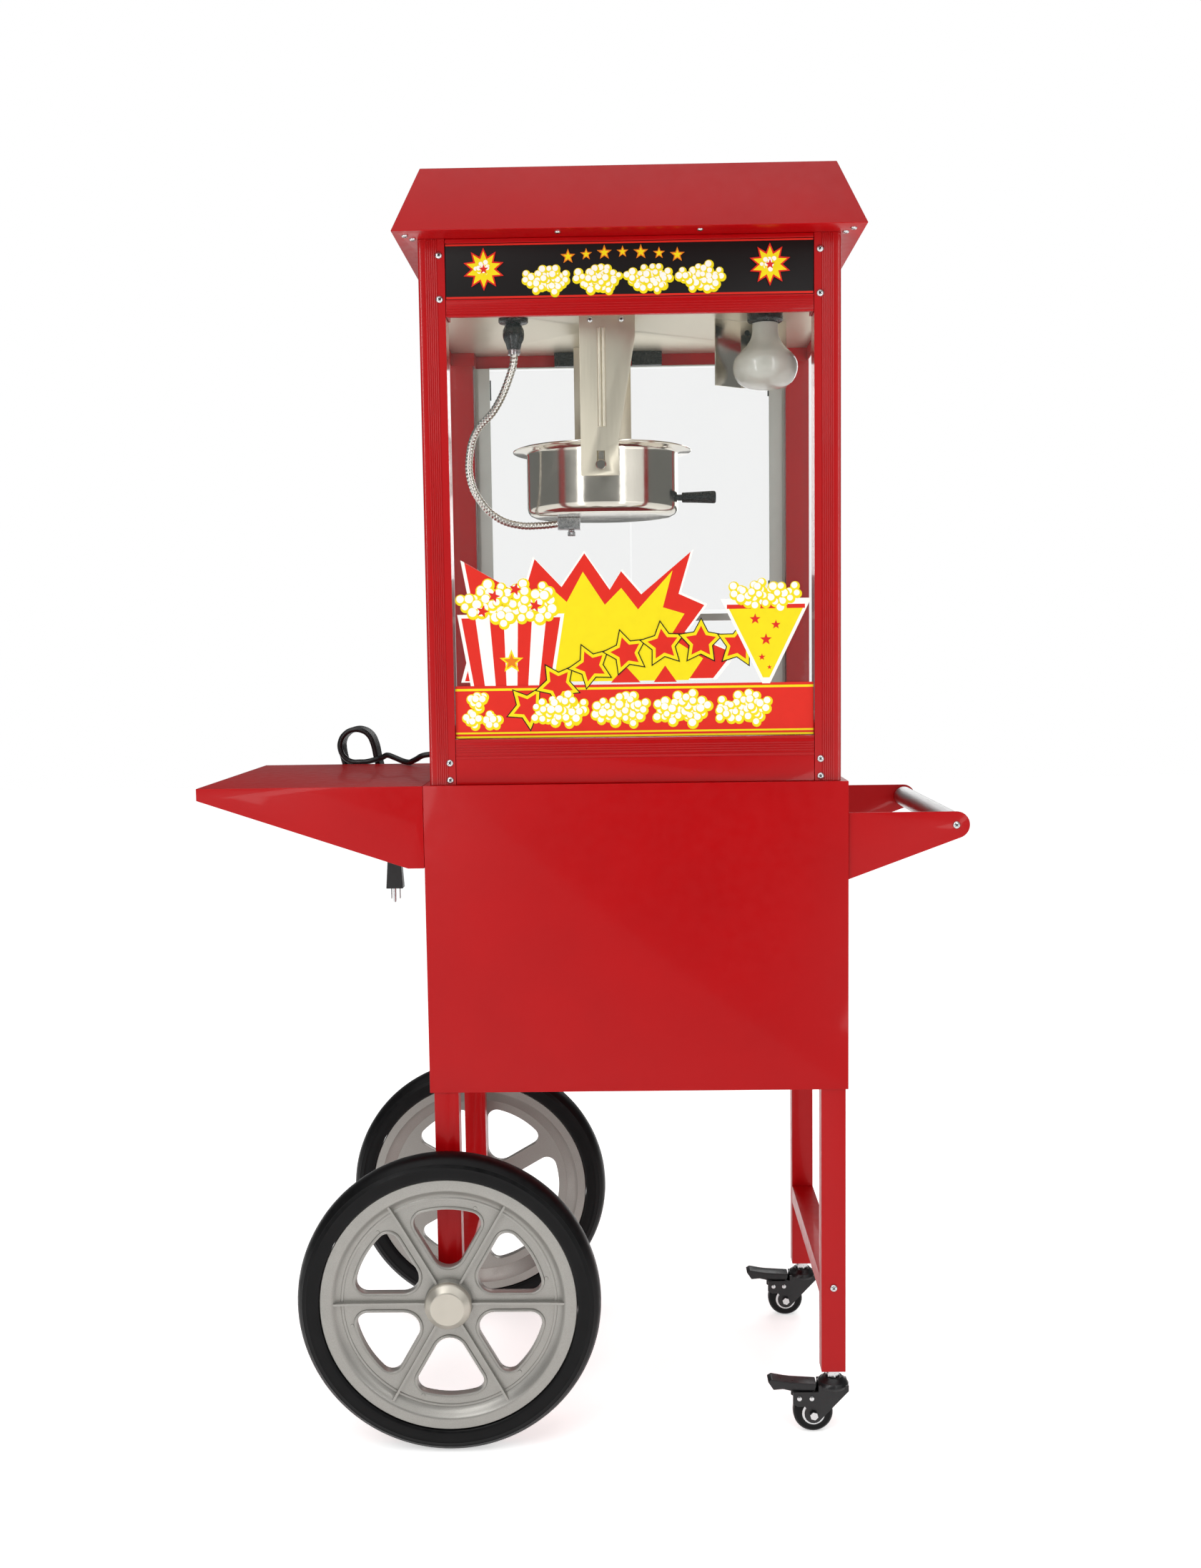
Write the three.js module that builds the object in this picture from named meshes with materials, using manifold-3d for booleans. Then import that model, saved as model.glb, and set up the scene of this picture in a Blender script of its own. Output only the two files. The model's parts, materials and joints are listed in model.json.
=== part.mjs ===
// A popcorn cart: a glazed popper cabinet with a tilting kettle, standing on a wheeled sheet-metal cart.
// Millimetres, +Z up, front facing -Y. Places are given from the cabinet's middle plane (x), the cart's
// front face (y) and the floor (z), and one group then moves the origin to the middle of the footprint.
import * as THREE from 'three';
import { mergeVertices } from 'three/addons/utils/BufferGeometryUtils.js';
import Module from 'manifold-3d';

// ---------------------------------------------------------------- driving dimensions
const GAP = 0.3;
const SHEET = 2;

const CART = { half: 258, depth: 370, bottom: 443, top: 824, flange: 20 };
const SHELF = { tip: -535, tipDrop: 15, rootDrop: 101, flat: 20 };
const HANDLE = { x: 389, z: 768.5, plateRadius: 16.5, barRadius: 14, rootDrop: 82, inset: 4 };
const LEG = { width: 30, depth: 25, wall: 1.6, left: -238, right: 240, lowLeft: 165, lowRight: 80 };
const BRACE = { top: 198, height: 25, wall: 2 };

const WHEEL = { x: -237, radius: 187.5, tyre: 40, rim: 158.7, track: 415, frontY: -22.5, spokes: 6 };
const AXLE = { radius: 6, capRadius: 29, capFace: 21, capLength: 14, reach: 27.5 };
const CASTER = { radius: 25, width: 18, trail: 25, forkInside: 11.3, plate: 2, pin: 4 };

const CABINET = { half: 250, front: 7, back: 363 };
const POST = { width: 32, depth: 30, bottom: CART.top + GAP, top: 1471.7 };
const BASE = { bottom: CART.top + GAP, deck: 857, railTop: 879.5 };
const GLASS = { thick: 3, bottom: 879.8, top: 1381.2 };
const HEADER = { bottom: 1381.5, railTop: 1401.6, signTop: 1466.5, top: 1471.7 };
const CEILING = { under: 1399, thick: 2 };
const ROOF = { z: 1472, top: 1560, eaveHalf: 276, eaveOut: 38, ridgeHalf: 248, ridgeIn: 24, lip: 10 };

const KETTLE = { x: -37, y: 180, bottom: 1157, rim: 1243, radius: 98, flange: 116, wall: 3, floor: 1186 };
const PIVOT_Z = 1212;
// The shafts meet above the circle that the kettle's flange sweeps as it tips.
const COUPLING_Z = PIVOT_Z + 122.5;
const HANGER = { half: 123, left: -61.5, right: 6.5, rearLeft: -76, rearRight: 2, low: 1199, plate: 2 };
const LAMP = { x: 167, y: 85, bottom: 1303, radius: 40 };
const OUTLET = { x: -145, y: 110 };

const CORD = { radius: 4, run: 120, fold: 24, pitch: 8.2, turns: 4, lean: 12, layer: 382 };
const HANK = { x: -391, z: 791 };
const PLUG = { x: -357, y: 414, neck: 706, shoulder: 682, base: 635, tip: 614 };
const DRAWER = { half: 180, front: 60, low: 828, high: 850 };

// ---------------------------------------------------------------- solids
const wasm = await Module();
wasm.setup();

function toSolid(geometry) {
  const bare = geometry.clone();
  bare.deleteAttribute('normal');
  bare.deleteAttribute('uv');
  const merged = mergeVertices(bare, 1e-4);
  const vertProperties = new Float32Array(merged.attributes.position.array);
  const triVerts = new Uint32Array(merged.index.array);
  return new wasm.Manifold(new wasm.Mesh({ numProp: 3, vertProperties, triVerts }));
}

function fromSolid(solid) {
  const mesh = solid.getMesh();
  const geometry = new THREE.BufferGeometry();
  geometry.setAttribute('position', new THREE.BufferAttribute(new Float32Array(mesh.vertProperties), 3));
  geometry.setIndex(new THREE.BufferAttribute(new Uint32Array(mesh.triVerts), 1));
  return geometry;
}

const join = (first, ...rest) => fromSolid(rest.reduce((sum, g) => sum.add(toSolid(g)), toSolid(first)));
const cut = (first, ...rest) => fromSolid(rest.reduce((sum, g) => sum.subtract(toSolid(g)), toSolid(first)));

function box(x0, x1, y0, y1, z0, z1) {
  const geometry = new THREE.BoxGeometry(x1 - x0, y1 - y0, z1 - z0);
  return geometry.translate((x0 + x1) / 2, (y0 + y1) / 2, (z0 + z1) / 2);
}

// An outline of [a, b] points, or a ready Shape, pushed along one axis.
function toShape(outline) {
  if (outline instanceof THREE.Shape) return outline;
  return new THREE.Shape(outline.map(([a, b]) => new THREE.Vector2(a, b)));
}

function prismZ(outline, z0, z1, curveSegments = 6) {
  const options = { depth: z1 - z0, bevelEnabled: false, curveSegments };
  return new THREE.ExtrudeGeometry(toShape(outline), options).translate(0, 0, z0);
}

// The outline is in x and z, and the solid runs from y0 to y1.
function prismY(outline, y0, y1, curveSegments = 6) {
  const options = { depth: y1 - y0, bevelEnabled: false, curveSegments };
  return new THREE.ExtrudeGeometry(toShape(outline), options).rotateX(Math.PI / 2).translate(0, y1, 0);
}

// A turned profile of [radius, height] points about a vertical or a front-to-back axis.
function turnedZ(profile, x, y, segments = 32) {
  const points = profile.map(([r, z]) => new THREE.Vector2(r, z));
  return new THREE.LatheGeometry(points, segments).rotateX(Math.PI / 2).translate(x, y, 0);
}

function turnedY(profile, x, z, segments = 32) {
  const points = profile.map(([r, y]) => new THREE.Vector2(r, y));
  return new THREE.LatheGeometry(points, segments).translate(x, 0, z);
}

const rodZ = (x, y, r, z0, z1, segments = 16) => turnedZ([[0, z0], [r, z0], [r, z1], [0, z1]], x, y, segments);
const rodY = (x, z, r, y0, y1, segments = 16) => turnedY([[0, y0], [r, y0], [r, y1], [0, y1]], x, z, segments);

// A box whose top rectangle differs from its bottom one.
function taperedBox(low, high, z0, z1) {
  const geometry = new THREE.BoxGeometry(2, 2, 2);
  const place = geometry.attributes.position;
  for (let i = 0; i < place.count; i += 1) {
    const end = place.getZ(i) < 0 ? low : high;
    const x = place.getX(i) * end.half;
    const y = place.getY(i) < 0 ? end.y0 : end.y1;
    place.setXYZ(i, x, y, place.getZ(i) < 0 ? z0 : z1);
  }
  return geometry;
}

// A rectangle with its four corners cut away for the posts.
function plusOutline(half, y0, y1, inset = 0) {
  const cornerX = CABINET.half - POST.width - GAP - inset;
  const nearY = CABINET.front + POST.depth + GAP + inset;
  const farY = CABINET.back - POST.depth - GAP - inset;
  const right = [
    [cornerX, y0],
    [cornerX, nearY],
    [half, nearY],
    [half, farY],
    [cornerX, farY],
    [cornerX, y1],
  ];
  const left = right.map(([x, y]) => [-x, y]).reverse();
  return [...right, ...left];
}

// ---------------------------------------------------------------- finishes and the node list
const FINISH = {
  red: { color: 0xc01a1c, roughness: 0.3, metalness: 0.1 },
  steel: { color: 0xc9c9c4, roughness: 0.25, metalness: 1 },
  zinc: { color: 0xb5b5b0, roughness: 0.4, metalness: 1 },
  alloy: { color: 0xa9aaad, roughness: 0.45, metalness: 0.5 },
  rubber: { color: 0x17171a, roughness: 0.7, metalness: 0 },
  black: { color: 0x1b1b1d, roughness: 0.45, metalness: 0 },
  glass: { color: 0xdfe8e6, roughness: 0.05, metalness: 0, transparent: true, opacity: 0.3 },
  bulb: { color: 0xe8e6dc, roughness: 0.35, metalness: 0 },
  sign: { color: 0x232222, roughness: 0.4, metalness: 0 },
  motor: { color: 0x6f7276, roughness: 0.5, metalness: 0.6 },
};

const cart = new THREE.Group();

function add(name, geometry, finish) {
  const mesh = new THREE.Mesh(geometry, new THREE.MeshStandardMaterial(FINISH[finish]));
  mesh.name = name;
  cart.add(mesh);
}

// ---------------------------------------------------------------- cart body
const innerHalf = CART.half - SHEET;
const legFrontY = SHEET + GAP;
const legRearY = CART.depth - SHEET - GAP - LEG.depth;

function cartShell() {
  const { half, depth, flange } = CART;
  const right = [
    [half, 0],
    [half, depth],
    [half - flange, depth],
    [half - flange, depth - SHEET],
    [innerHalf, depth - SHEET],
    [innerHalf, SHEET],
  ];
  const left = right.map(([x, y]) => [-x, y]).reverse();
  const wall = prismZ([...right, ...left], CART.bottom, CART.top);
  const floor = box(-innerHalf - 1, innerHalf + 1, 1, depth - SHEET, CART.bottom, CART.bottom + SHEET);
  const notches = [];
  for (const x of [LEG.left, LEG.right]) {
    for (const y of [legFrontY, legRearY]) {
      const reach = LEG.width / 2 + GAP;
      notches.push(box(x - reach, x + reach, y - GAP, y + LEG.depth + GAP, CART.bottom - 1, CART.bottom + 3));
    }
  }
  const reach = innerHalf + 1;
  const deck = box(-reach, reach, 1, depth - SHEET - 1, CART.top - SHEET, CART.top);
  return cut(join(wall, floor, deck), ...notches);
}

function cartDoor() {
  const half = CART.half - CART.flange - 1.3;
  const low = CART.bottom + 3;
  const high = CART.top - 1;
  const lipHalf = half - 22;
  const y = CART.depth;
  const panel = box(-half, half, y - SHEET, y, low, high);
  const lipLow = box(-lipHalf, lipHalf, y - 14, y - 1, low, low + SHEET);
  const lipHigh = box(-lipHalf, lipHalf, y - 14, y - 1, high - SHEET - 3, high - 3);
  const knob = [[0, y - 1], [5, y - 1], [5, y + 8], [11, y + 12], [11, y + 19], [8, y + 22], [0, y + 22]];
  return join(panel, lipLow, lipHigh, turnedY(knob, half - 30, (low + high) / 2, 20));
}

function sideShelf() {
  const root = -CART.half - GAP;
  const { tip, tipDrop, rootDrop, flat } = SHELF;
  const top = CART.top;
  const low = top - rootDrop;
  const side = [[tip, top - tipDrop], [root - flat, low], [root, low], [root, top], [tip, top]];
  const block = prismY(side, 0, CART.depth);
  const under = box(tip + SHEET, root - SHEET, SHEET, CART.depth - SHEET, low - 5, top - SHEET);
  return cut(block, under);
}

function handlePlate(y, flangeY) {
  const root = CART.half + GAP;
  const top = HANDLE.z + HANDLE.plateRadius;
  const low = top - HANDLE.rootDrop;
  const r = HANDLE.plateRadius;
  const reach = Math.hypot(HANDLE.x - root, HANDLE.z - low);
  const slope = Math.atan2(HANDLE.z - low, HANDLE.x - root) - Math.asin(r / reach);
  const shape = new THREE.Shape();
  shape.moveTo(root, top);
  shape.lineTo(root, low);
  shape.absarc(HANDLE.x, HANDLE.z, r, slope - Math.PI / 2, Math.PI / 2, false);
  shape.closePath();
  const plate = prismY(shape, y, y + SHEET, 12);
  const flange = box(root, root + SHEET, Math.min(y, flangeY), Math.max(y + SHEET, flangeY), low + 12, top - 6);
  return join(plate, flange);
}

function pushBar() {
  const from = HANDLE.inset + SHEET + GAP;
  const to = CART.depth - from;
  const profile = [[0, from], [HANDLE.barRadius - 1, from], [HANDLE.barRadius, from + 1]];
  profile.push([HANDLE.barRadius, to - 1], [HANDLE.barRadius - 1, to], [0, to]);
  return turnedY(profile, HANDLE.x, HANDLE.z, 24);
}

add('cart_shell', cartShell(), 'red');
add('cart_door', cartDoor(), 'red');
add('side_shelf', sideShelf(), 'red');
add('handle_plate_front', handlePlate(HANDLE.inset, HANDLE.inset + 22), 'red');
add('handle_plate_rear', handlePlate(CART.depth - HANDLE.inset - SHEET, CART.depth - HANDLE.inset - 22), 'red');
add('push_bar', pushBar(), 'zinc');

// ---------------------------------------------------------------- legs, braces and axle
function leg(x, y, low) {
  const reach = LEG.width / 2;
  const top = CART.top - SHEET - GAP;
  const outside = box(x - reach, x + reach, y, y + LEG.depth, low, top);
  const inside = box(
    x - reach + LEG.wall,
    x + reach - LEG.wall,
    y + LEG.wall,
    y + LEG.depth - LEG.wall,
    low + 3,
    top + 1,
  );
  const axleHole = rodY(WHEEL.x, WHEEL.radius, AXLE.radius + GAP, y - 1, y + LEG.depth + 1, 20);
  const stemHole = rodZ(LEG.right, y + LEG.depth / 2, CASTER.pin + GAP, low - 1, low + 4, 16);
  return cut(outside, inside, x < 0 ? axleHole : stemHole);
}

function brace(x) {
  const reach = LEG.width / 2;
  const from = legFrontY + LEG.depth + GAP;
  const to = legRearY - GAP;
  const low = BRACE.top - BRACE.height;
  const outline = [
    [x - reach, low],
    [x - reach + BRACE.wall, low],
    [x - reach + BRACE.wall, BRACE.top - BRACE.wall],
    [x + reach - BRACE.wall, BRACE.top - BRACE.wall],
    [x + reach - BRACE.wall, low],
    [x + reach, low],
    [x + reach, BRACE.top],
    [x - reach, BRACE.top],
  ];
  return prismY(outline, from, to);
}

// A steel bar with a domed cap pressed on each end to hold the wheels.
function axle() {
  const near = WHEEL.frontY - AXLE.reach;
  const far = WHEEL.frontY + WHEEL.track + AXLE.reach;
  const { radius, capRadius, capFace, capLength } = AXLE;
  const profile = [[0, near], [capFace, near], [capRadius, near + 6], [capRadius, near + capLength]];
  profile.push([radius, near + capLength], [radius, far - capLength], [capRadius, far - capLength]);
  profile.push([capRadius, far - 6], [capFace, far], [0, far]);
  return turnedY(profile, WHEEL.x, WHEEL.radius, 32);
}

add('leg_front_left', leg(LEG.left, legFrontY, LEG.lowLeft), 'red');
add('leg_rear_left', leg(LEG.left, legRearY, LEG.lowLeft), 'red');
add('leg_front_right', leg(LEG.right, legFrontY, LEG.lowRight), 'red');
add('leg_rear_right', leg(LEG.right, legRearY, LEG.lowRight), 'red');
add('brace_left', brace(LEG.left), 'red');
add('brace_right', brace(LEG.right), 'red');
add('axle', axle(), 'steel');

// ---------------------------------------------------------------- big wheels
// One window between two spokes: straight sides beside the spokes, round corners, and an outer arc.
function wheelWindow(turn) {
  const spoke = 12.5;
  const outer = 118;
  const inside = 20;
  const corner = 14;
  const middle = Math.PI / WHEEL.spokes;
  const innerAt = (spoke + inside) / Math.sin(middle);
  const cornerTurn = Math.asin((spoke + corner) / (outer - corner));
  const at = (radius, angle) => [radius * Math.cos(angle + turn), radius * Math.sin(angle + turn)];
  const hole = new THREE.Path();
  const [ix, iz] = at(innerAt, middle);
  const [ax, az] = at(outer - corner, cornerTurn);
  const [bx, bz] = at(outer - corner, 2 * middle - cornerTurn);
  hole.absarc(ix, iz, inside, turn + 2 * middle + Math.PI / 2, turn + 3 * Math.PI / 2, false);
  hole.absarc(ax, az, corner, turn - Math.PI / 2, turn + cornerTurn, false);
  hole.absarc(0, 0, outer, turn + cornerTurn, turn + 2 * middle - cornerTurn, false);
  hole.absarc(bx, bz, corner, turn + 2 * middle - cornerTurn, turn + 2 * middle + Math.PI / 2, false);
  return hole;
}

function wheelRim(midY, side, turn) {
  const bore = AXLE.radius + GAP;
  const web = new THREE.Shape().absarc(0, 0, 134, 0, 2 * Math.PI, false);
  for (let i = 0; i < WHEEL.spokes; i += 1) {
    web.holes.push(wheelWindow(turn + (i * 2 * Math.PI) / WHEEL.spokes));
  }
  const disc = prismY(web, -6, 4, 4);
  const bead = [[130, -8], [145, -16], [WHEEL.rim, -16], [WHEEL.rim, 16], [145, 16], [130, 6], [130, -8]];
  const ring = turnedY(bead, 0, 0, 48);
  const hub = turnedY([[0, -13], [29, -13], [29, 21], [0, 21]], 0, 0, 24);
  const ribs = [];
  for (let i = 0; i < WHEEL.spokes; i += 1) {
    const rib = box(26, 144, -12, -5, -1.4, 1.4);
    ribs.push(rib.rotateY(-turn - (i * 2 * Math.PI) / WHEEL.spokes));
  }
  const hole = rodY(0, 0, bore, -40, 40, 20);
  const rim = cut(join(disc, ring, hub, ...ribs), hole);
  return rim.rotateZ(side > 0 ? 0 : Math.PI).translate(WHEEL.x, midY, WHEEL.radius);
}

function wheelTyre(midY) {
  const half = WHEEL.tyre / 2;
  const outer = WHEEL.radius;
  const inner = WHEEL.rim + GAP;
  const section = [
    [inner, -half],
    [outer - 12, -half],
    [outer - 3, -half + 5],
    [outer, -half + 12],
    [outer, half - 12],
    [outer - 3, half - 5],
    [outer - 12, half],
    [inner, half],
    [inner, -half],
  ];
  return turnedY(section, WHEEL.x, WHEEL.radius, 48).translate(0, midY, 0);
}

const wheels = [
  { name: 'front', midY: WHEEL.frontY, side: 1, turn: 0 },
  { name: 'rear', midY: WHEEL.frontY + WHEEL.track, side: -1, turn: Math.PI / WHEEL.spokes },
];
for (const { name, midY, side, turn } of wheels) {
  add(`wheel_${name}_rim`, wheelRim(midY, side, turn), 'alloy');
  add(`wheel_${name}_tyre`, wheelTyre(midY), 'rubber');
}

// ---------------------------------------------------------------- casters
// Outlines are in x and z from the caster wheel's axle.
function casterStem(y) {
  const z = LEG.lowRight;
  const pin = CASTER.pin;
  const profile = [[0, z - 28], [8, z - 28], [8, z - 25], [pin, z - 25], [pin, z - 9], [8.5, z - 9]];
  profile.push([8.5, z - GAP], [pin, z - GAP], [pin, z + 16], [0, z + 16]);
  return turnedZ(profile, LEG.right, y, 16);
}

function casterFork(y) {
  const axleX = LEG.right - CASTER.trail;
  const inside = CASTER.forkInside;
  const outside = inside + CASTER.plate;
  const arm = new THREE.Shape();
  arm.moveTo(-26, 29);
  arm.lineTo(-26, 14);
  arm.lineTo(-20, 10);
  arm.lineTo(-11, 10);
  arm.absarc(0, 0, 11.5, Math.PI * 0.78, Math.PI * 1.82, false);
  arm.lineTo(44, 30);
  arm.lineTo(44, 37);
  arm.lineTo(6, 37);
  arm.lineTo(6, 29);
  arm.closePath();
  const place = (g) => g.translate(axleX, y, CASTER.radius);
  const near = place(prismY(arm, -outside, -inside, 5));
  const far = place(prismY(arm, inside, outside, 5));
  const roof = place(box(8, 44, -outside, outside, 32, 37));
  const pinHeld = rodY(axleX, CASTER.radius, 3.5, y - outside - 2.5, y + outside + 2.5, 12);
  const race = turnedZ(
    [[0, 58], [20, 58], [20.5, 61], [18, 65], [15, 66.5], [12, 70], [0, 70]],
    LEG.right,
    y,
    16,
  );
  const hollow = rodZ(LEG.right, y, CASTER.pin + GAP, 40, 80, 16);
  const headRoom = rodZ(LEG.right, y, 8 + GAP, 40, LEG.lowRight - 25 + GAP, 16);
  return cut(join(near, far, roof, race, pinHeld), hollow, headRoom);
}

function casterWheel(y) {
  const half = CASTER.width / 2;
  const r = CASTER.radius;
  const bore = 3.5 + GAP;
  const section = [
    [bore, -half - 1.5],
    [14.6, -half - 1.5],
    [15.5, -half],
    [r - 3, -half],
    [r, -half + 3],
    [r, half - 3],
    [r - 3, half],
    [15.5, half],
    [14.6, half + 1.5],
    [bore, half + 1.5],
    [bore, -half - 1.5],
  ];
  return turnedY(section, LEG.right - CASTER.trail, r, 24).translate(0, y, 0);
}

function casterPedal(y) {
  const outline = [
    [-52, 44],
    [-57, 41],
    [-50, 30.5],
    [-38, 31.5],
    [-27, 29],
    [-6, 26.5],
    [2, 30],
    [4, 38],
    [-28, 40],
    [-36, 41],
  ];
  const width = 20;
  return prismY(outline, -width / 2, width / 2).translate(LEG.right - CASTER.trail, y, CASTER.radius);
}

const casters = [
  { name: 'front', y: legFrontY + LEG.depth / 2 },
  { name: 'rear', y: legRearY + LEG.depth / 2 },
];
for (const { name, y } of casters) {
  add(`caster_${name}_stem`, casterStem(y), 'zinc');
  add(`caster_${name}_fork`, casterFork(y), 'black');
  add(`caster_${name}_wheel`, casterWheel(y), 'rubber');
  add(`caster_${name}_pedal`, casterPedal(y), 'black');
}

// ---------------------------------------------------------------- cabinet frame
const postX = CABINET.half - POST.width;
const clearX = postX - GAP;
const sideY0 = CABINET.front + POST.depth + GAP;
const sideY1 = CABINET.back - POST.depth - GAP;
const skin = 1;

// The post's section holds a slot for each pane, and grooves on its face.
function post(sideX, sideY) {
  const w = POST.width;
  const d = POST.depth;
  const section = [
    [0, 0],
    [9, 0],
    [10, 0.7],
    [11, 0],
    [13, 0],
    [14, 0.7],
    [15, 0],
    [17, 0],
    [18, 0.7],
    [19, 0],
    [21, 0],
    [22, 0.7],
    [23, 0],
    [w - 3, 0],
    [w, 3],
    [w, d],
    [0, d],
  ];
  const outer = prismZ(section, POST.bottom, POST.top);
  const wall = 2;
  const bore = box(wall, w - wall, wall + 1, d - wall, POST.bottom - 1, POST.top + 1);
  const tube = cut(outer, bore);
  if (sideX < 0) tube.rotateZ(Math.PI).scale(1, -1, 1);
  if (sideY > 0) tube.scale(1, -1, 1);
  const y = sideY > 0 ? CABINET.back : CABINET.front;
  return tube.translate(sideX * postX, y, 0);
}

function flipInside(geometry) {
  const order = geometry.index.array;
  for (let i = 0; i < order.length; i += 3) {
    [order[i], order[i + 1]] = [order[i + 1], order[i]];
  }
  return geometry;
}

function placedPost(sideX, sideY) {
  const tube = post(sideX, sideY);
  const mirrored = (sideX < 0) !== (sideY > 0);
  return mirrored ? flipInside(tube) : tube;
}

function baseFrame() {
  const y0 = CABINET.front + skin;
  const y1 = CABINET.back - skin;
  const half = CABINET.half - skin;
  const drop = BASE.deck - BASE.bottom - SHEET;
  const outer = prismZ(plusOutline(half, y0, y1), BASE.bottom, BASE.deck);
  const inner = plusOutline(half - SHEET, y0 + SHEET, y1 - SHEET, SHEET);
  const hollow = prismZ(inner, BASE.bottom - 1, BASE.bottom + drop);
  const slot = box(-DRAWER.half - 1, DRAWER.half + 1, y1 - 4, y1 + 1, DRAWER.low - 1, DRAWER.high + 2);
  const railZ = BASE.deck - 1;
  const rails = [
    box(-clearX, clearX, y0, y0 + 12, railZ, BASE.railTop),
    box(-clearX, clearX, y1 - 12, y1, railZ, BASE.railTop),
    box(half - 11, half, sideY0, sideY1, railZ, BASE.railTop),
    box(-half, -half + 11, sideY0, sideY1, railZ, BASE.railTop),
  ];
  return join(cut(outer, hollow, slot), ...rails);
}

function crumbDrawer() {
  const { half, front, low, high } = DRAWER;
  const y1 = CABINET.back - skin;
  const tray = box(-half, half, front, y1, low, high);
  const hollow = box(-half + SHEET, half - SHEET, front + SHEET, y1 - SHEET, low + SHEET, high + 1);
  const pull = box(-40, 40, y1 - 1, y1 + 10, high - 4, high - 2);
  const lip = box(-40, 40, y1 + 8, y1 + 10, high - 10, high - 2);
  return join(cut(tray, hollow), pull, lip);
}

const SWITCH = { width: 14, height: 21, z: 1437, spacing: 60 };

function headerFrame() {
  const y0 = CABINET.front + skin;
  const y1 = CABINET.back - skin;
  const half = CABINET.half - skin;
  const recess = 4;
  const ring = plusOutline(half, y0 + recess, y1);
  const inner = plusOutline(half - SHEET, y0 + recess + SHEET, y1 - SHEET, SHEET);
  const wall = prismZ(ring, HEADER.bottom, HEADER.top);
  const hollow = prismZ(inner, HEADER.bottom - 1, HEADER.top + 1);
  const lowRail = box(-clearX, clearX, y0, y0 + recess + 1, HEADER.bottom, HEADER.railTop);
  const highRail = box(-clearX, clearX, y0, y0 + recess + 1, HEADER.signTop, HEADER.top);
  const holes = [];
  for (const i of [-1, 0, 1]) {
    const x = i * SWITCH.spacing;
    const w = SWITCH.width / 2 + GAP * 2;
    const h = SWITCH.height / 2 + GAP * 2;
    holes.push(box(x - w, x + w, y1 - 5, y1 + 1, SWITCH.z - h, SWITCH.z + h));
  }
  return cut(join(cut(wall, hollow), lowRail, highRail), ...holes);
}

function signPanel() {
  const y0 = CABINET.front + skin;
  return box(-clearX, clearX, y0 + 0.8, y0 + 4 - GAP, HEADER.railTop + GAP, HEADER.signTop - GAP);
}

function ceilingPlate() {
  const inset = skin + SHEET + GAP;
  const y0 = CABINET.front + inset + 4;
  const y1 = CABINET.back - inset;
  const outline = plusOutline(CABINET.half - inset, y0, y1, SHEET + GAP);
  const plate = prismZ(outline, CEILING.under, CEILING.under + CEILING.thick);
  return cut(plate, rodZ(KETTLE.x, KETTLE.y, 9, CEILING.under - 5, CEILING.under + 5, 20));
}

function roof() {
  const { z, top, eaveHalf, eaveOut, ridgeHalf, ridgeIn, lip } = ROOF;
  const low = { half: eaveHalf, y0: CABINET.front - eaveOut, y1: CABINET.back + eaveOut };
  const high = { half: ridgeHalf, y0: CABINET.front + ridgeIn, y1: CABINET.back - ridgeIn };
  const shrink = (end, by) => ({ half: end.half - by, y0: end.y0 + by * 1.4, y1: end.y1 - by * 1.4 });
  const outer = taperedBox(low, high, z, top);
  const inner = taperedBox(shrink(low, 2.6), shrink(high, 2.2), z + SHEET, top - SHEET);
  const edge = CABINET.half - lip;
  const mouth = box(-edge, edge, CABINET.front + lip, CABINET.back - lip, z - 1, z + SHEET + 1);
  return cut(outer, inner, mouth);
}

add('base_frame', baseFrame(), 'red');
add('crumb_drawer', crumbDrawer(), 'steel');
add('post_front_left', placedPost(-1, -1), 'red');
add('post_front_right', placedPost(1, -1), 'red');
add('post_rear_left', placedPost(-1, 1), 'red');
add('post_rear_right', placedPost(1, 1), 'red');
add('header_frame', headerFrame(), 'red');
add('sign_panel', signPanel(), 'sign');
add('ceiling_plate', ceilingPlate(), 'steel');
add('roof', roof(), 'red');

// ---------------------------------------------------------------- panes, doors and switches
const DOOR = { low: 1040, high: 1378, hinge: 214, y: 356, thick: 3, middle: 1.2 };

function paneAlongX(y, low, high) {
  return box(-clearX, clearX, y, y + GLASS.thick, low, high);
}

function paneAlongY(x) {
  return box(x, x + GLASS.thick, sideY0, sideY1, GLASS.bottom, GLASS.top);
}

function rearDoor(side) {
  const pane = box(DOOR.middle, DOOR.hinge + 1, DOOR.y, DOOR.y + DOOR.thick, DOOR.low, DOOR.high);
  const knob = rodY(DOOR.middle + 22, DOOR.low + 150, 8, DOOR.y + 2, DOOR.y + 18, 16);
  const door = join(pane, knob);
  return side > 0 ? door : flipInside(door.scale(-1, 1, 1));
}

function rocker(x) {
  const w = SWITCH.width / 2;
  const h = SWITCH.height / 2;
  const face = CABINET.back - skin;
  const half = [
    [face - 6, -h + 1.5],
    [face + 1, -h],
    [face + 3.4, -h + 0.6],
    [face + 1.4, 0],
    [face + 3.4, h - 0.6],
    [face + 1, h],
    [face - 6, h - 1.5],
  ];
  const options = { depth: 2 * w, bevelEnabled: false };
  const body = new THREE.ExtrudeGeometry(toShape(half), options);
  return body.rotateX(Math.PI / 2).rotateZ(Math.PI / 2).translate(x - w, 0, SWITCH.z);
}

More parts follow.
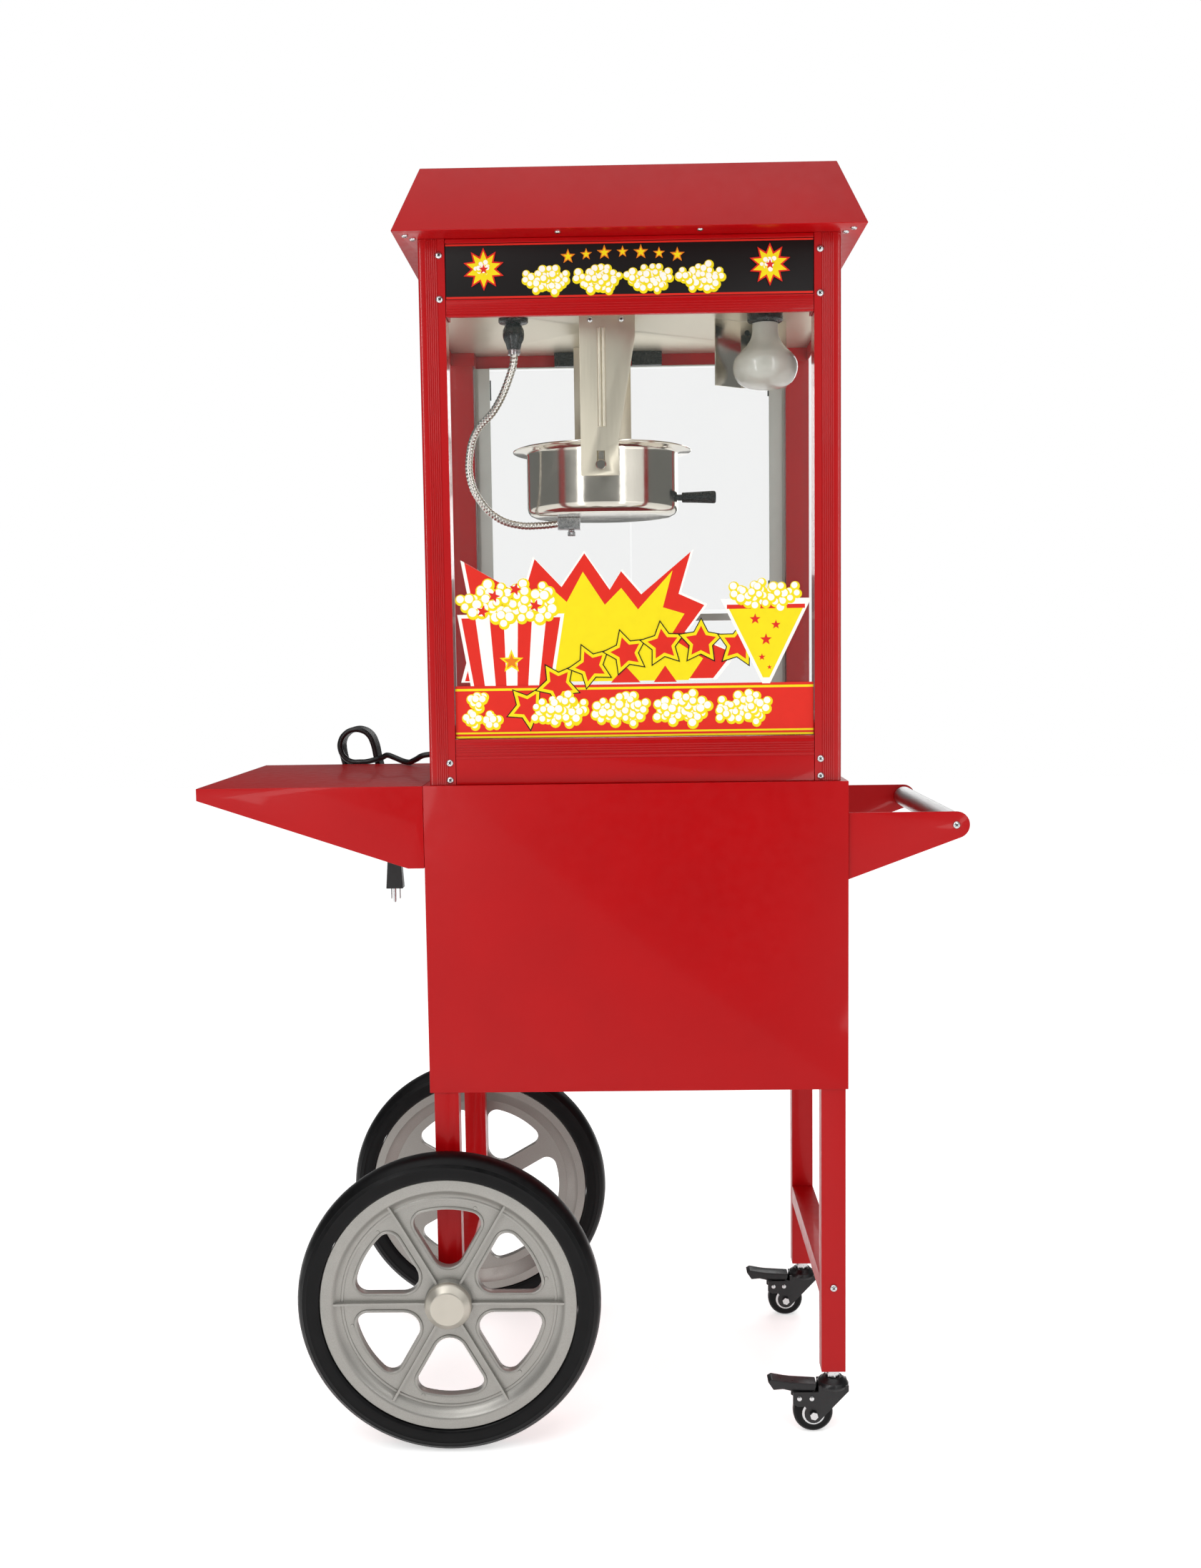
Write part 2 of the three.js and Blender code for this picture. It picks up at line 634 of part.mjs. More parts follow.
add('front_glass', paneAlongX(CABINET.front + 6, GLASS.bottom, GLASS.top), 'glass');
add('left_glass', paneAlongY(-CABINET.half + 5), 'glass');
add('right_glass', paneAlongY(CABINET.half - 8), 'glass');
add('rear_glass', paneAlongX(CABINET.back - 10, GLASS.bottom, DOOR.low - 8), 'glass');
add('door_left', rearDoor(-1), 'glass');
add('door_right', rearDoor(1), 'glass');
for (const [i, name] of ['switch_motor', 'switch_heat', 'switch_light'].entries()) {
  add(name, rocker((i - 1) * SWITCH.spacing), 'black');
}

// ---------------------------------------------------------------- kettle and its drive
function driveMotor() {
  const z = CEILING.under + CEILING.thick + GAP;
  const gearbox = box(KETTLE.x - 40, KETTLE.x + 40, KETTLE.y - 35, KETTLE.y + 35, z, z + 26);
  const can = rodZ(KETTLE.x + 6, KETTLE.y, 27, z + 20, z + 62, 24);
  return cut(join(gearbox, can), rodZ(KETTLE.x, KETTLE.y, 5 + GAP, z - 1, z + 15, 16));
}

function driveShaft() {
  const top = CEILING.under + CEILING.thick + 12;
  const low = COUPLING_Z + 1.5;
  return turnedZ([[0, low], [9, low], [9, low + 14], [5, low + 16], [5, top], [0, top]], KETTLE.x, KETTLE.y, 16);
}

function kettleHanger() {
  const { half, left, right, rearLeft, rearRight, low, plate } = HANGER;
  const top = CEILING.under - GAP;
  const y0 = KETTLE.y - half;
  const y1 = KETTLE.y + half;
  const tab = -15;
  const taper = [[tab, low], [tab, low + 41], [right, low + 167], [right, top], [left, top], [left, low]];
  const front = prismY(taper, y0, y0 + plate);
  const rear = box(rearLeft, rearRight, y1 - plate, y1, low, top);
  const web = box(left, rearRight, y0, y1, top - plate, top);
  const rib = box(left, left + plate, y0, y0 + 5, low, top);
  const shaftHole = rodZ(KETTLE.x, KETTLE.y, 9, top - 10, top + 10, 20);
  const pinHole = rodY(KETTLE.x, PIVOT_Z, 5.3, y0 - 5, y1 + 5, 20);
  const slot = box(KETTLE.x - 5, KETTLE.x + 5, y0 - 5, y1 + 5, PIVOT_Z, PIVOT_Z + 17);
  return cut(join(front, rear, web, rib), shaftHole, pinHole, slot);
}

// The pot with its flange, heater housing, lid strap, two pivot pins and the box where its supply enters.
function kettle() {
  const { x, y, bottom, rim, radius, flange, wall, floor } = KETTLE;
  const profile = [
    [0, bottom],
    [radius - 12, bottom],
    [radius - 4, bottom + 3.5],
    [radius, bottom + 12],
    [radius, rim - 5],
    [flange, rim - 3],
    [flange, rim],
    [radius - wall, rim],
    [radius - wall, floor],
    [0, floor],
  ];
  const pot = turnedZ(profile, x, y, 40);
  const strap = box(x - 8, x + 8, y - flange + 3, y + flange - 3, rim - 0.5, rim + 4);
  const pins = [];
  for (const side of [-1, 1]) {
    const ends = [y + side * (radius - 2), y + side * (HANGER.half + 1), y + side * (HANGER.half + 3)];
    const [root, neck, tip] = ends;
    pins.push(rodY(x, PIVOT_Z, 5, Math.min(root, tip), Math.max(root, tip), 20));
    pins.push(rodY(x, PIVOT_Z, 6.4, Math.min(neck, tip), Math.max(neck, tip), 20));
  }
  const hoseBox = box(x - 58.5, x - 29, y - 24, y - 6, bottom - 16, bottom + 1);
  return cut(join(pot, strap, hoseBox, ...pins), rodZ(x, y, 5 + GAP, floor + 5, rim + 10, 16));
}

function kettleHandle() {
  const from = KETTLE.radius + GAP;
  const grip = [[0, from], [4, from], [4, from + 5], [6.4, from + 5], [7, from + 20]];
  grip.push([8.2, from + 46], [6.5, from + 49.5], [0, from + 49.5]);
  const geometry = turnedZ(grip, 0, 0, 20).rotateY(Math.PI / 2);
  return geometry.translate(KETTLE.x, KETTLE.y, 1182);
}

function stirrer() {
  const { x, y, floor } = KETTLE;
  const low = floor + 1;
  const top = COUPLING_Z;
  const profile = [[0, low], [9, low], [9, low + 8], [5, low + 10], [5, top - 12], [8.5, top - 10]];
  profile.push([8.5, top - 2], [6, top - 0.4], [0, top]);
  const shaft = turnedZ(profile, x, y, 16);
  const arm = box(x - 84, x + 84, y - 1.5, y + 1.5, low, low + 7);
  const wire = box(x - 1.5, x + 1.5, y - 70, y + 70, low, low + 7);
  return join(shaft, arm, wire);
}

function lid(side) {
  const { x, y, rim, radius } = KETTLE;
  const r = radius + 12;
  const near = 12;
  const turn = Math.asin(near / r);
  const shape = new THREE.Shape();
  shape.absarc(0, 0, r, -Math.PI / 2 + turn, Math.PI / 2 - turn, false);
  shape.closePath();
  const half = prismZ(shape, rim + GAP, rim + GAP + 1.5, 24);
  return half.rotateZ(side > 0 ? 0 : Math.PI).translate(x, y, 0);
}

add('drive_motor', driveMotor(), 'motor');
add('drive_shaft', driveShaft(), 'zinc');
add('kettle_hanger', kettleHanger(), 'steel');
add('kettle', kettle(), 'steel');
add('kettle_handle', kettleHandle(), 'black');
add('stirrer', stirrer(), 'steel');
add('lid_left', lid(-1), 'steel');
add('lid_right', lid(1), 'steel');

// ---------------------------------------------------------------- supply hose to the kettle, and the light
function tubeAlong(points, radius, steps, sides) {
  const section = new THREE.Shape().absarc(0, 0, radius, 0, 2 * Math.PI, false);
  const route = new THREE.CatmullRomCurve3(points.map((p) => new THREE.Vector3(...p)), false, 'centripetal');
  const options = { steps, extrudePath: route, curveSegments: sides, bevelEnabled: false };
  return new THREE.ExtrudeGeometry(section, options);
}

function outletPlug() {
  const top = CEILING.under - GAP;
  const profile = [[0, top - 38], [8, top - 38], [10, top - 30], [13.5, top - 21], [13, top - 13]];
  profile.push([9, top - 6], [18.5, top - 5], [18.5, top], [0, top]);
  return turnedZ(profile, OUTLET.x, OUTLET.y, 24);
}

// From the ceiling outlet, out to the left and round under the kettle.
const conduitRoute = [
  [OUTLET.x, OUTLET.y, 1360.4],
  [OUTLET.x, OUTLET.y, 1350],
  [-152, 115, 1327],
  [-172, 125, 1290],
  [-196, 135, 1265],
  [-206, 145, 1239],
  [-206, 150, 1204],
  [-194, 155, 1178],
  [-174, 160, 1158],
  [-147, 162, 1148],
  [-118, 164, 1147],
  [-96, 165, 1149],
];

function lamp() {
  const { x, y, bottom, radius } = LAMP;
  const socket = CEILING.under - GAP;
  const profile = [
    [0, bottom],
    [18, bottom + 2.5],
    [31, bottom + 9],
    [38.5, bottom + 19],
    [radius, bottom + 27],
    [38, bottom + 36],
    [29, bottom + 46],
    [20, bottom + 56],
    [16, bottom + 67],
    [15.5, bottom + 80],
    [22, bottom + 81],
    [22, socket],
    [0, socket],
  ];
  return turnedZ(profile, x, y, 20);
}

function lampShield() {
  const low = 1316;
  const outline = [
    [108, 124],
    [142, 150],
    [200, 150],
    [200, 151.5],
    [141.5, 151.5],
    [107, 125.2],
  ];
  return prismZ(outline, low, CEILING.under - GAP);
}

add('outlet_plug', outletPlug(), 'black');
add('conduit', tubeAlong(conduitRoute, 5, 26, 4), 'zinc');
add('lamp', lamp(), 'bulb');
add('lamp_shield', lampShield(), 'steel');

// ---------------------------------------------------------------- power cord
// It leaves the cabinet's left side, lies on the shelf, drops over the rear edge and is folded there.
const exitX = -CABINET.half + skin - GAP;
const exitZ = 841;
const exitY = 305;
const cordRoute = [
  [exitX - 32.4, exitY, exitZ],
  [-290, exitY, exitZ],
  [-299, 307, 839],
  [-306, 312, 835],
  [-314, 322, 831],
  [-321, 335, 828.3],
  [-331, 344, 829.5],
  [-344, 352, 834],
  [-356, 361, 837],
  [-365, 371, 833],
];

function cordRelief() {
  const profile = [[0, 0], [9, 0], [9, 4], [6.5, 5], [5, 32], [0, 32]];
  return turnedZ(profile, 0, 0, 16).rotateY(-Math.PI / 2).translate(exitX, exitY, exitZ);
}

// The folds lean back over the shelf's edge.
function cordHank() {
  const { radius, run, fold, pitch, turns, lean, layer } = CORD;
  const r = fold + radius;
  const shape = new THREE.Shape();
  shape.absarc(0, run / 2, r, 0, Math.PI, false);
  shape.absarc(0, -run / 2, r, Math.PI, 2 * Math.PI, false);
  shape.closePath();
  const solid = prismY(shape, layer - radius, layer + turns * pitch + radius, 10);
  return solid.rotateY(THREE.MathUtils.degToRad(-lean)).translate(HANK.x, 0, HANK.z);
}

// A three-pin plug that hangs with its pins down.
function cordPlug() {
  const { x, y, neck, shoulder, base, tip } = PLUG;
  const relief = turnedZ([[0, shoulder - 2], [7.5, shoulder], [4.6, neck], [0, neck]], x, y, 16);
  const low = { half: 12.5, y0: -10, y1: 10 };
  const high = { half: 9.5, y0: -8, y1: 8 };
  const body = taperedBox(low, high, base, shoulder + 1).translate(x, y, 0);
  const blades = [-6.35, 6.35].map((dx) => box(x + dx - 0.8, x + dx + 0.8, y + 1, y + 7.3, tip + 4, base + 1));
  return join(relief, body, ...blades, rodZ(x, y - 6.5, 2.4, tip, base + 1, 12));
}

add('cord_relief', cordRelief(), 'black');
add('power_cord', tubeAlong(cordRoute, CORD.radius, 12, 4), 'black');
add('cord_hank', cordHank(), 'black');
add('cord_plug', cordPlug(), 'black');

cart.position.set((-SHELF.tip - HANDLE.x - HANDLE.plateRadius) / 2, -CART.depth / 2, 0);

export default cart;
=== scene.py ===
"""The looks of a popcorn cart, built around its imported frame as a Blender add-on that is run as a script."""

import json
import math
import random

import bmesh
import bpy
from mathutils import Matrix, Vector


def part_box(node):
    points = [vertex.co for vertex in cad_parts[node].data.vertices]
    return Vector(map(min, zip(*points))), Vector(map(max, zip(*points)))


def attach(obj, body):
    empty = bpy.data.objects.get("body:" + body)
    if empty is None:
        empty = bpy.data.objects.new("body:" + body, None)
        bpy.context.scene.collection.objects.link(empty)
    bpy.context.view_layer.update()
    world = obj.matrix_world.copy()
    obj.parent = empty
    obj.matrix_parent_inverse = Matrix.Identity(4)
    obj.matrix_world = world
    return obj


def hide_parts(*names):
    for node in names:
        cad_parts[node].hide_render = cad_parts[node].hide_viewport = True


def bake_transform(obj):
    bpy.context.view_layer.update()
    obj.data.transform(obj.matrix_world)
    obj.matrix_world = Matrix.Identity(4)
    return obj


bl_info = {
    "name": "Popcorn Cart",
    "version": (1, 0, 0),
    "blender": (4, 5, 0),
    "location": "View3D > Sidebar > Popcorn Cart",
    "description": "Builds a glazed popcorn cart with its kettle, wheels, prints and cord",
    "category": "Add Mesh",
}

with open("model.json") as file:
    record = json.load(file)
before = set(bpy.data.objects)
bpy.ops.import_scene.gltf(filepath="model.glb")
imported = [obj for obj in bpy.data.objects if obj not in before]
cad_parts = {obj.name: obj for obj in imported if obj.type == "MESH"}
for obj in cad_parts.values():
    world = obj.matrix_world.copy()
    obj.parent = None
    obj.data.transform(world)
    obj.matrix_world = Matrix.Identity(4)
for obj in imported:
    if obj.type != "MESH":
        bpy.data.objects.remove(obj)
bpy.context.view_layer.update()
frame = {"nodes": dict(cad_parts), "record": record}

# ------------------------------------------------------------------ places and sizes
# Places are given in millimetres from the cart's middle plane (x), its front face (y) and the floor (z).
MM = 0.001
SHELL_LOW, SHELL_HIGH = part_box("cart_shell")
MIDDLE_X = (SHELL_LOW.x + SHELL_HIGH.x) / 2
FRONT_Y = SHELL_LOW.y

X = Vector((1, 0, 0))
Y = Vector((0, 1, 0))
Z = Vector((0, 0, 1))

BODY_OF = {n: body for body, nodes in frame["record"]["behaviour"]["bodies"].items() for n in nodes}


def at(x, y, z):
    """A point given in the cart's own millimetres, in the frame's metres."""
    return Vector((MIDDLE_X + x * MM, FRONT_Y + y * MM, z * MM))


def limits(node):
    """A node's lowest and highest corner in the cart's own millimetres."""
    low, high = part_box(node)
    shift = Vector((MIDDLE_X, FRONT_Y, 0))
    return (low - shift) / MM, (high - shift) / MM


CABINET_LOW = limits("base_frame")[0]
POST_HALF = limits("post_front_right")[1].x
POST_WIDTH = 32
POST_FRONT = limits("post_front_right")[0].y
POST_BACK = limits("post_rear_right")[1].y
PANE_LOW, PANE_HIGH = limits("front_glass")
SIGN_LOW, SIGN_HIGH = limits("sign_panel")
WHEEL_X = -237
WHEEL_Z = 187.5
AXLE_HOLE = 6.4
KETTLE_X = -37
KETTLE_Y = 180
PIVOT_Z = 1212
CEILING_Z = limits("ceiling_plate")[0].z


# ------------------------------------------------------------------ materials
def linear(hex_colour):
    """An sRGB hex colour as linear RGBA."""
    parts = [int(hex_colour[i : i + 2], 16) / 255 for i in (1, 3, 5)]
    return [c / 12.92 if c <= 0.04045 else ((c + 0.055) / 1.055) ** 2.4 for c in parts] + [1.0]


def add_node(tree, kind, settings=None, inputs=None):
    """A node with its settings, and its inputs given a value or a link."""
    node = tree.nodes.new(kind)
    for name, value in (settings or {}).items():
        setattr(node, name, value)
    for name, value in (inputs or {}).items():
        if isinstance(value, bpy.types.NodeSocket):
            tree.links.new(value, node.inputs[name])
        else:
            node.inputs[name].default_value = value
    return node


FINISH = {}
COLOUR_A, COLOUR_B, COLOUR_RESULT = 6, 7, 2


def finish(name, colour, constants, patterns=()):
    """Makes a material from its shader's constant values and its patterns.

    A pattern is noise whose size is in millimetres, drawn out along any axis whose stretch is under 1.
    It varies the tint or the roughness between two values, or raises the skin by a height in mm.
    """
    material = bpy.data.materials.new(name)
    material.use_nodes = True
    tree = material.node_tree
    shader = tree.nodes["Principled BSDF"]
    shader.inputs["Base Color"].default_value = colour
    for socket, value in constants.items():
        shader.inputs[socket].default_value = value
    for pattern in patterns:
        place = add_node(tree, "ShaderNodeTexCoord").outputs["Object"]
        stretch = {"Vector": place, "Scale": pattern.get("stretch", (1, 1, 1))}
        mapped = add_node(tree, "ShaderNodeMapping", inputs=stretch).outputs["Vector"]
        noise = {"Vector": mapped, "Scale": 1 / (pattern["size"] * MM), "Detail": pattern.get("detail", 3.0)}
        value = add_node(tree, "ShaderNodeTexNoise", inputs=noise).outputs["Fac"]
        if "tint" in pattern:
            part = {"Value": value, "From Min": 0.3, "From Max": 0.7}
            mix = {"Factor": add_node(tree, "ShaderNodeMapRange", inputs=part).outputs["Result"]}
            blend = add_node(tree, "ShaderNodeMix", {"data_type": "RGBA"}, mix)
            for slot, strength in zip((COLOUR_A, COLOUR_B), pattern["tint"]):
                blend.inputs[slot].default_value = [min(1.0, c * strength) for c in colour[:3]] + [1.0]
            tree.links.new(blend.outputs[COLOUR_RESULT], shader.inputs["Base Color"])
        if "roughness" in pattern:
            low, high = pattern["roughness"]
            part = {"Value": value, "From Min": 0.3, "From Max": 0.7, "To Min": low, "To Max": high}
            result = add_node(tree, "ShaderNodeMapRange", inputs=part).outputs["Result"]
            tree.links.new(result, shader.inputs["Roughness"])
        if "height" in pattern:
            skin = {"Height": value, "Distance": pattern["height"] * MM, "Strength": 1.0}
            bump = add_node(tree, "ShaderNodeBump", inputs=skin)
            tree.links.new(bump.outputs["Normal"], shader.inputs["Normal"])
    FINISH[name] = material
    return material


def colour_choice(name, description, hex_colour):
    """A colour that the user may change."""
    settings = {"name": name, "description": description, "default": linear(hex_colour)}
    return bpy.props.FloatVectorProperty(subtype="COLOR", size=4, min=0.0, max=1.0, **settings)


def size_choice(name, description, millimetres, high):
    """A length that the user may change, kept in metres."""
    settings = {"name": name, "description": description, "default": millimetres * MM}
    return bpy.props.FloatProperty(subtype="DISTANCE", unit="LENGTH", min=0.0, max=high * MM, **settings)


class PopcornCartColours(bpy.types.PropertyGroup):
    """The colours of the cart's paints, plastics and inks."""

    enamel: colour_choice("Enamel", "Gloss paint on the sheets and posts", "#A90106")
    moulding: colour_choice("Wheel Moulding", "Silver plastic of the spoked wheels", "#9B9994")
    rubber: colour_choice("Rubber", "Tyres and caster treads", "#09090A")
    sheet_steel: colour_choice("Sheet Steel", "Satin hanger, ceiling and drawer", "#D3CCB9")
    pot_steel: colour_choice("Pot Steel", "Polished kettle, lids and lamp shield", "#D8D2C6")
    print_yellow: colour_choice("Print Yellow", "Yellow ink", "#E8D314")
    print_red: colour_choice("Print Red", "Red ink", "#D3281C")
    print_white: colour_choice("Print White", "White ink", "#F1EEE6")
    print_black: colour_choice("Print Black", "Sign background and outlines", "#120E0E")


class PopcornCartSizes(bpy.types.PropertyGroup):
    """The small sizes that the frame leaves open."""

    sheet_edge: size_choice("Sheet Edge", "Rounding of the folded sheets", 0.9, 2)
    screw_radius: size_choice("Screw Radius", "Radius of the cabinet's screw heads", 4.3, 6)
    rib_pitch: size_choice("Rib Pitch", "Spacing of the ribs on the corner posts", 2.42, 2.45)
    hose_pitch: size_choice("Hose Pitch", "Spacing of the turns on the supply hose", 4.6, 8)
    print_star: size_choice("Print Star", "Radius of the large printed stars", 26, 30)


# ------------------------------------------------------------------ mesh tools
def piece(name, bm, body, finishes, replaces=(), bevel=0.0, smooth=40.0):
    """A bmesh as an object that rides on a body, if one is given, with its finishes and a bevel in mm."""
    mesh = bpy.data.meshes.new(name)
    bm.to_mesh(mesh)
    bm.free()
    for finish in [finishes] if isinstance(finishes, str) else finishes:
        mesh.materials.append(FINISH[finish])
    mesh.shade_smooth()
    if bevel == 0:
        mesh.set_sharp_from_angle(angle=math.radians(smooth))
    obj = bpy.data.objects.new(name, mesh)
    bpy.context.scene.collection.objects.link(obj)
    if bevel > 0:
        round_edges = obj.modifiers.new("round_edges", "BEVEL")
        round_edges.width = bevel * MM
        round_edges.segments = 3
        round_edges.limit_method = "ANGLE"
        round_edges.angle_limit = math.radians(30)
        round_edges.harden_normals = True
    if body:
        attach(obj, body)
    if replaces:
        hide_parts(*replaces)
    return obj


def cad_copy(node):
    """A CAD node's mesh with its triangles merged and its flat faces joined."""
    bm = bmesh.new()
    bm.from_mesh(frame["nodes"][node].data)
    bmesh.ops.remove_doubles(bm, verts=bm.verts, dist=0.02 * MM)
    bmesh.ops.dissolve_limit(bm, angle_limit=math.radians(1), verts=bm.verts, edges=bm.edges)
    return bm


def dress(node, finish, bevel=0.7):
    """The node's own shape with rounded edges and its real finish."""
    return piece(f"{node}_skin", cad_copy(node), BODY_OF[node], finish, (node,), bevel)


def block(bm, x0, x1, y0, y1, z0, z1, ink=0):
    """Adds a plain box between two limits on each axis, in mm, in one of the piece's finishes."""
    low, high = at(x0, y0, z0), at(x1, y1, z1)
    size = high - low
    place = Matrix.Translation((low + high) / 2) @ Matrix.Diagonal((*size, 1))
    made = bmesh.ops.create_cube(bm, size=1.0, matrix=place)
    for face in {f for v in made["verts"] for f in v.link_faces}:
        face.material_index = ink
    return made["verts"]


def lathe(bm, profile, centre, axis, segments=64, closed=False, ink=0):
    """Spins (radius, height) points in mm about an axis through centre."""
    side = axis.orthogonal().normalized()
    verts = [bm.verts.new(centre + side * (r * MM) + axis * (h * MM)) for r, h in profile]
    pairs = list(zip(verts, verts[1:]))
    if closed:
        pairs.append((verts[-1], verts[0]))
    edges = [bm.edges.new(pair) for pair in pairs]
    before = set(bm.faces)
    geom = verts + edges
    bmesh.ops.spin(bm, geom=geom, cent=centre, axis=axis, angle=math.tau, steps=segments, use_merge=True)
    made = [f for f in bm.faces if f not in before]
    around = list({v for f in made for v in f.verts})
    bmesh.ops.remove_doubles(bm, verts=around, dist=0.005 * MM)
    made = [f for f in bm.faces if f not in before]
    bmesh.ops.recalc_face_normals(bm, faces=made)
    for face in made:
        face.material_index = ink


def extruded(bm, outline, place, depth, ink=0):
    """A flat outline of (a, b) points, put in space by place(a, b), and pushed by the vector depth."""
    before = set(bm.faces)
    face = bm.faces.new([bm.verts.new(place(a, b)) for a, b in outline])
    grown = bmesh.ops.extrude_face_region(bm, geom=[face])
    moved = [g for g in grown["geom"] if isinstance(g, bmesh.types.BMVert)]
    bmesh.ops.translate(bm, verts=moved, vec=depth)
    made = [f for f in bm.faces if f not in before]
    bmesh.ops.recalc_face_normals(bm, faces=made)
    for f in made:
        f.material_index = ink


def arc(x, z, radius, start, end, steps):
    """Points along a circle's arc, in degrees."""
    turns = [math.radians(start + (end - start) * i / steps) for i in range(steps + 1)]
    return [(x + radius * math.cos(t), z + radius * math.sin(t)) for t in turns]


def take_curve(bm, curve, place=Matrix.Identity(4), ink=0):
    """Turns a curve into mesh inside bm."""
    obj = bpy.data.objects.new("pattern", curve)
    bpy.context.scene.collection.objects.link(obj)
    bpy.context.view_layer.update()
    mesh = bpy.data.meshes.new_from_object(obj.evaluated_get(bpy.context.evaluated_depsgraph_get()))
    mesh.transform(place)
    known = len(bm.faces)
    bm.from_mesh(mesh)
    bm.faces.ensure_lookup_table()
    for face in bm.faces[known:]:
        face.material_index = ink
    bpy.data.objects.remove(obj)
    bpy.data.meshes.remove(mesh)
    bpy.data.curves.remove(curve)


def spline_curve(points, radius, closed=False, sides=4, resolution=8):
    """A round bar of radius mm along smooth points in metres."""
    curve = bpy.data.curves.new("bar", "CURVE")
    curve.dimensions = "3D"
    curve.bevel_depth = radius * MM
    curve.bevel_resolution = sides
    curve.resolution_u = resolution
    curve.use_fill_caps = not closed
    spline = curve.splines.new("BEZIER")
    spline.bezier_points.add(len(points) - 1)
    for knot, point in zip(spline.bezier_points, points):
        knot.co = point
        knot.handle_left_type = "AUTO"
        knot.handle_right_type = "AUTO"
    spline.use_cyclic_u = closed
    return curve


def bar(bm, points, radius, closed=False, sides=4, ink=0):
    """Adds a round bar along a run of points, open or joined end to end."""
    take_curve(bm, spline_curve(points, radius, closed, sides), ink=ink)


def pan_screw(bm, centre, axis, radius=4.5, steel=0, recess_shade=1):
    """A domed screw head standing on centre and facing along axis, with its cross recess drawn as a thin black
    cross on top: painted shade, not a cut.
    """
    height = radius * 0.55
    dome = [(0, 0), (radius, 0), (radius, height * 0.35), (radius * 0.82, height * 0.8)]
    dome += [(radius * 0.45, height), (0, height * 1.02)]
    lathe(bm, dome, centre, axis, 20, ink=steel)
    side = axis.orthogonal().normalized()
    other = axis.cross(side)
    reach, width = radius * 0.5, radius * 0.11
    # The cross recess is not cut: a thin black cross stands on the dome as painted shade of the recess.
    for long_way, short_way in ((side, other), (other, side)):
        corners = [(-reach, -width), (reach, -width), (reach, width), (-reach, width)]

        def place(a, b, u=long_way, v=short_way):
            return centre + axis * (height * 1.03 * MM) + u * (a * MM) + v * (b * MM)

        extruded(bm, corners, place, axis * (0.08 * MM), recess_shade)


def hex_bolt(bm, centre, axis, radius, height, ink=0):
    """Adds a hexagonal bolt head that stands on a face along an axis."""
    outline = arc(0, 0, radius, 0, 300, 5)
    side = axis.orthogonal().normalized()
    other = axis.cross(side)
    extruded(bm, outline, lambda a, b: centre + side * (a * MM) + other * (b * MM), axis * (height * MM), ink)


